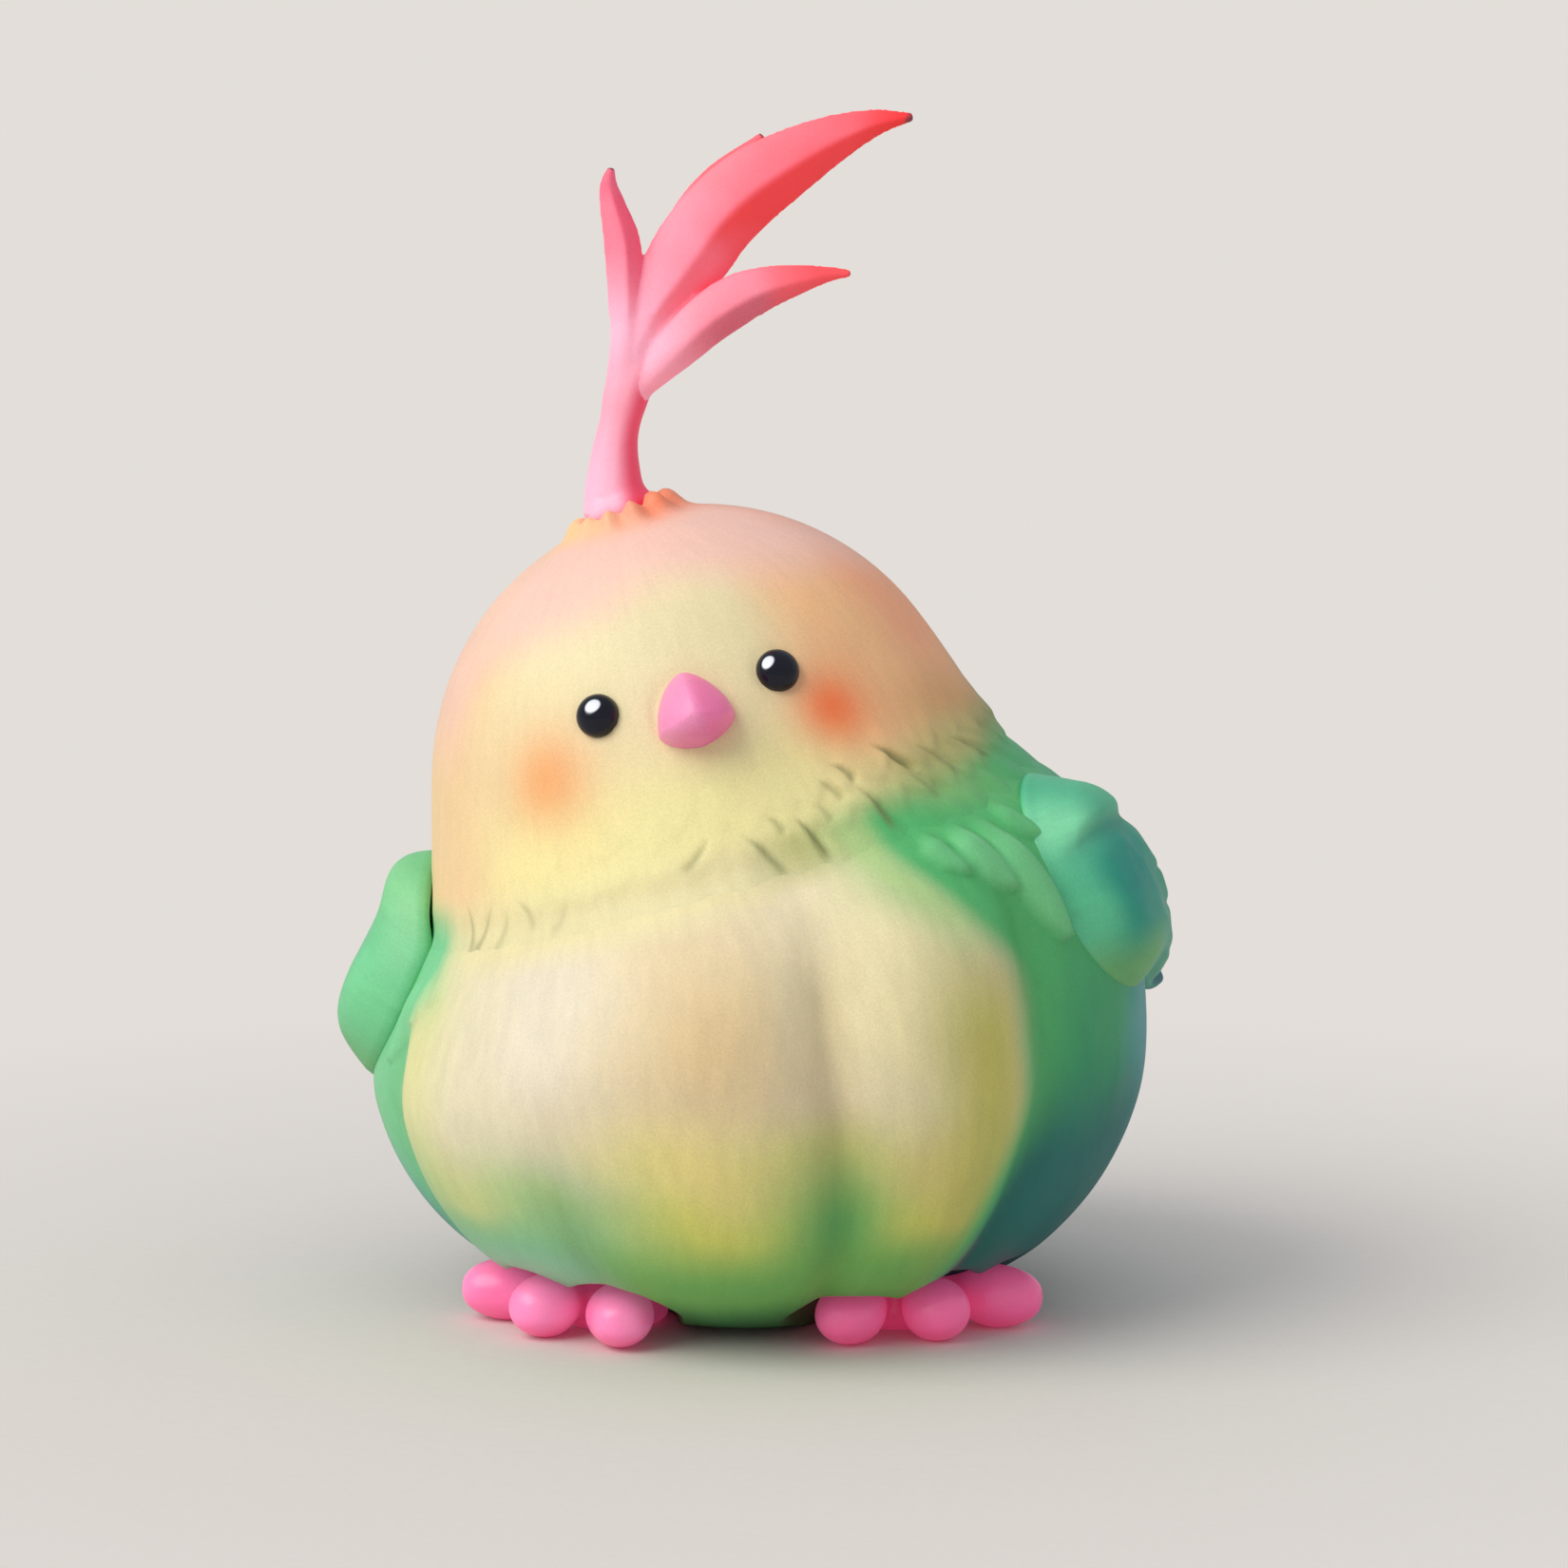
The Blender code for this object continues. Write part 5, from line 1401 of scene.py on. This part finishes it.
def make_wing(side, finish):
    """A domed outside, a rounded rim and a back with fewer rows."""
    axes = wing_axes(side)
    angle = np.linspace(0.0, 360.0, WING_COLUMNS, endpoint=False)[None, :]
    reach = np.concatenate([np.linspace(0.02, 0.8, 54), np.linspace(0.8, 0.985, 22)[1:]])[:, None]
    length = reach * wing_outline(angle)
    back, up = wing_flat(angle, length)
    rim_back, rim_up = wing_flat(angle, wing_outline(angle))
    outer, inner = cad_wing_skin(side, axes, angle, length)
    relief = wing_relief(side, back, up, reach)
    drop = 0.82 * (outer[-1:] - inner[-1:])
    top = outer + relief - drop * (1.0 - np.sqrt(1.0 - ramp(reach, 0.5, 1.03) ** 2))
    under = np.minimum(inner, top - WING_THINNEST)
    edge = (top[-1:] + under[-1:]) / 2
    again = slice(None, None, -UNDER_STEP)
    out = np.concatenate([top, edge, under[again]])
    relief = np.concatenate([relief, relief[-1:], relief[again]])
    back = np.concatenate([back, rim_back, back[again]])
    up = np.concatenate([up, rim_up, up[again]])
    points = on_wing(axes, back, up, out)
    grain = np.stack([0.25 * back, up, 0.0 * up], axis=-1)
    paint = paint_wing(side, back, up, relief)
    add_skin(f"wing_feathers_{side}", points, paint, grain, finish, f"wing_{side}", f"wing_{side}")


# ---------------------------------------------------------------- feet and tail

TOE_RADIUS = 3.2
TOE_SQUASH = 0.93

# The pad over the pin that joins the toes: radii and heights.
PAD_RINGS = ((4.2, 0.0), (5.2, 0.6), (5.4, 2.0), (5.0, 3.8), (3.8, 5.0))
FOOT_VOXEL = 0.22
# The left foot, on the side away from the light, is painted darker than the right: painted shade.
FOOT_BASE = {"left": "#f868a0", "right": "#ff86bc"}
FOOT_MOTTLE_AND_SHADE = (
    ("#f85a96", 0.6, (ramp, "mottle", -0.2, 0.9)),
    # painted shade: darker near the pad under the body, and low on the toes near the floor
    ("#d83c74", 0.8, (ramp, "away", 8.5, 6.0)),
    ("#ec5088", 0.8, (ramp, "height", 2.6, 0.3)),
)


def toe_rings(origin, heading, length):
    """An egg that lies on the floor, with its big end forwards."""
    out = direction(heading)
    across = np.cross(UP, out)
    angle = circle(48)
    rings = []
    for share in np.linspace(0.02, 0.98, 30):
        turn = math.pi * share
        size = math.sin(turn) ** 0.75 * (0.64 + 0.38 * ramp(share, 0.3, 0.6))
        along = length + TOE_RADIUS - (1.0 + math.cos(turn)) * (0.5 * length + 0.1)
        side = TOE_RADIUS * size * np.cos(angle)
        height = TOE_RADIUS * TOE_SQUASH * (0.97 + size * np.sin(angle))
        rings.append(origin + along * out + np.outer(side, across) + np.outer(np.maximum(height, 0.0), UP))
    return rings


def make_foot(side, finish):
    origin = FEET[side][0]
    parts = []
    for turn, length in zip(TOE_TURNS, TOE_LENGTHS):
        parts.append(loft(toe_rings(origin, FOOT_HEADINGS[side] + turn, length)))
    angle = circle(64)
    ring = np.stack([np.cos(angle), np.sin(angle), 0.0 * angle], axis=-1)
    parts.append(loft([origin + radius * ring + height * UP for radius, height in PAD_RINGS]))
    mesh, points = fused(f"foot_toes_{side}", parts, FOOT_VOXEL, 5)
    paint = coated(points.shape, FOOT_BASE[side])
    airbrush(paint, FOOT_MOTTLE_AND_SHADE, {
        "mottle": noise(points, 3.5, 41),
        "away": np.linalg.norm(points[:, :2] - origin[:2], axis=1),
        "height": points[:, 2],
    })
    add_piece(f"foot_toes_{side}", mesh, paint, points * 0.5, finish, f"foot_{side}", f"foot_{side}")


# The tail's feathers: how far each is to one side, as a share of half the width, its turn and length.
TAIL_FEATHERS = ((-0.36, -9.0, 0.90), (0.0, 0.0, 0.98), (0.36, 9.0, 0.90))
TAIL_TILT = 12.0
TAIL_OUT = np.array([0.0, math.cos(math.radians(TAIL_TILT)), math.sin(math.radians(TAIL_TILT))])
TAIL_DEEP = np.cross(SIDEWAYS, TAIL_OUT)
TAIL_THICKNESS = 2.1
TAIL_VOXEL = 0.2
TAIL_BASE = "#1d8f8a"


def tail_feather_rings(root, turn, length, half_width):
    """A flat feather with a rounded end and a low ridge."""
    turn = math.radians(turn)
    side = unit(SIDEWAYS * math.cos(turn) - TAIL_OUT * math.sin(turn))
    ahead = np.cross(side, TAIL_DEEP)
    if ahead @ TAIL_OUT < 0.0:
        ahead = -ahead
    angle = circle(120)
    rings = []
    for share in np.linspace(0.0, 0.985, 40):
        taper = math.sqrt(1.0 - share**2.6)
        wide = 0.60 * half_width * (0.8 + 0.2 * share) * taper + 0.1
        thick = TAIL_THICKNESS * taper + 0.1
        crown = 1.0 + 0.12 * np.cos(3.0 * angle) * share
        rings.append(root + ahead * (length * share) + np.outer(wide * np.cos(angle) * crown, side)
                     + np.outer(thick * np.sin(angle), TAIL_DEEP))
    return rings


def make_tail(finish):
    """A short flat wedge with three rounded feathers, whose place and size come from the CAD tail."""
    low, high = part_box("tail")
    centre = np.array((low + high) / 2) / MM
    width, reach, _ = np.array(high - low) / MM
    parts = []
    for shift, turn, length in TAIL_FEATHERS:
        root = centre - TAIL_OUT * (reach * 0.48) + SIDEWAYS * shift * (width / 2)
        parts.append(loft(tail_feather_rings(root, turn, length * reach, width / 2)))
    mesh, points = fused("tail_feathers", parts, TAIL_VOXEL, 3)
    outwards = ramp((points - centre) @ TAIL_OUT, -0.3 * reach, 0.5 * reach)
    paint = coated(points.shape, TAIL_BASE)
    spray(paint, "#2b6f9d", outwards * (0.8 + 0.2 * noise(points, 3.0, 51)))
    spray(paint, "#2f4f8f", 0.7 * ramp(outwards, 0.75, 1.0))
    add_piece("tail_feathers", mesh, paint, points * (1.0, 0.25, 1.0), finish, "body", "tail")


# ---------------------------------------------------------------- stage, light and camera

WALL_TONE = "#e3ded9"
FLOOR_TONE = "#dcd7d3"
FLOOR_RINGS = (60.0, 400.0, 3000.0)
FLOOR_COLUMNS = 96
FLOOR_MELTS = (25.0, 170.0)

ROOM_LIGHT = (0.93, 0.96, 1.0, 1.0)
ROOM_STRENGTH = 0.54
KEY_LIGHT = (1.0, 0.96, 0.90)
KEY_STRENGTH = 2.05
KEY_SPREAD = 50.0
KEY_AZIMUTH = -60.0
KEY_ELEVATION = 40.0

# The camera looks at a place right of and above the body's middle, measured in the picture.
CAMERA_AZIMUTH = 12.5
CAMERA_ELEVATION = 10.0
CAMERA_DISTANCE = 450.0
CAMERA_LENS = 108.0
CAMERA_SENSOR = 36.0
CAMERA_CLIP = (10.0, 20000.0)
AIM_RIGHT = 3.0
AIM_UP = 22.27


def camera_mix(tree, share, hidden, seen, output):
    """Shows one shader as far as a share says, and another for the rest."""
    mix = node(tree, "ShaderNodeMixShader", {"Fac": share, 1: hidden, 2: seen})
    tree.links.new(mix.outputs["Shader"], tree.nodes[output].inputs["Surface"])


def camera_ray(tree):
    return node(tree, "ShaderNodeLightPath").outputs["Is Camera Ray"]


def floor_paper():
    """Fine paper that, away from the toy, the camera sees in the wall's plain tone."""
    finish, tree, shader = new_finish("floor_paper")
    place = own_place(tree)
    fibre = noise_node(tree, place, 900.0, 4.0)
    base = plain_colour(tree, tone(FLOOR_TONE))
    set_inputs(tree, shader, {
        "Base Color": scaled_colour(tree, base, remap(tree, fibre, 0.3, 0.7, 0.985, 1.015)),
        "Roughness": 0.85,
        "Specular IOR Level": 0.15,
        "Normal": bump(tree, fibre, 0.02),
    })
    glow = node(tree, "ShaderNodeEmission", {"Color": (*tone(WALL_TONE), 1.0), "Strength": 1.0})
    away = node(tree, "ShaderNodeVectorMath", {0: place}, operation="LENGTH").outputs["Value"]
    far = remap(tree, away, FLOOR_MELTS[0] * MM, FLOOR_MELTS[1] * MM, 0.0, 1.0)
    inputs = {0: far, 1: camera_ray(tree)}
    share = node(tree, "ShaderNodeMath", inputs, operation="MULTIPLY").outputs["Value"]
    camera_mix(tree, share, shader.outputs["BSDF"], glow.outputs["Emission"], "Material Output")
    return finish


def make_stage():
    """A plain floor that melts into the wall's colour away from the toy."""
    angle = circle(FLOOR_COLUMNS)
    ring = np.stack([np.cos(angle), np.sin(angle), 0.0 * angle], axis=-1)
    points = np.concatenate([radius * ring for radius in FLOOR_RINGS])
    faces = grid_faces(len(FLOOR_RINGS), FLOOR_COLUMNS, False) + [list(range(FLOOR_COLUMNS))]
    mesh = bpy.data.meshes.new("floor")
    mesh.from_pydata((points * MM).tolist(), [], faces)
    mesh.materials.append(floor_paper())
    add_object("floor", mesh)


def make_room():
    """An even pale room. The camera sees its wall in one plain tone."""
    world = bpy.data.worlds.new("studio")
    bpy.context.scene.world = world
    world.use_nodes = True
    tree = world.node_tree
    room = tree.nodes["Background"]
    set_inputs(tree, room, {"Color": ROOM_LIGHT, "Strength": ROOM_STRENGTH})
    wall = node(tree, "ShaderNodeBackground", {"Color": (*tone(WALL_TONE), 1.0), "Strength": 1.0})
    outputs = (room.outputs["Background"], wall.outputs["Background"])
    camera_mix(tree, camera_ray(tree), *outputs, "World Output")


def make_light():
    """One large soft light from the camera's upper left."""
    key = bpy.data.lights.new("key", "SUN")
    key.energy = KEY_STRENGTH
    key.angle = math.radians(KEY_SPREAD)
    key.color = KEY_LIGHT
    back = Vector(from_camera(KEY_AZIMUTH, KEY_ELEVATION))
    lamp = add_object("key", key)
    lamp.rotation_mode = "QUATERNION"
    lamp.rotation_quaternion = (-back).to_track_quat("-Z", "Y")
    lamp.location = back


def make_camera():
    back = from_camera(0.0, CAMERA_ELEVATION)
    right = unit(np.cross(UP, back))
    place = BODY_CENTRE + CAMERA_DISTANCE * back
    target = BODY_CENTRE + AIM_RIGHT * right + AIM_UP * np.cross(back, right)
    lens = bpy.data.cameras.new("camera")
    lens.lens = CAMERA_LENS
    lens.sensor_width = CAMERA_SENSOR
    lens.clip_start, lens.clip_end = [distance * MM for distance in CAMERA_CLIP]
    camera = add_object("camera", lens)
    camera.location = place * MM
    camera.rotation_mode = "QUATERNION"
    camera.rotation_quaternion = Vector(target - place).to_track_quat("-Z", "Y")
    bpy.context.scene.camera = camera
    bpy.context.scene.view_settings.view_transform = "Standard"


def finish_pins():
    """The pins stay as the CAD has them, in their own plastic."""
    plastic = pin_plastic()
    for name in ("crest_pin", "wing_pin_left", "wing_pin_right", "foot_pin_left", "foot_pin_right"):
        mesh = frame["nodes"][name].data
        mesh.materials.clear()
        mesh.materials.append(plastic)


def build():
    make_body(vinyl("body_vinyl", 0.50, 0.05))
    make_head(vinyl("head_vinyl", 0.52, 0.03))
    make_eyes(eye_gloss())
    # The beak, crest and toes get a painted glow that brightens them beyond the lamps.
    make_beak(vinyl("beak_vinyl", 0.45, 0.02, glow=0.08))
    make_crest(vinyl("crest_vinyl", 0.46, 0.03, glow=0.17))
    wing_finish = vinyl("wing_vinyl", 0.48, 0.05)
    foot_finish = vinyl("foot_vinyl", 0.36, 0.02, coat=0.25, glow=0.2)
    for side in ("left", "right"):
        make_wing(side, wing_finish)
        make_foot(side, foot_finish)
    make_tail(vinyl("tail_vinyl", 0.48, 0.05))
    finish_pins()
    make_stage()
    make_room()
    make_light()
    make_camera()


build()
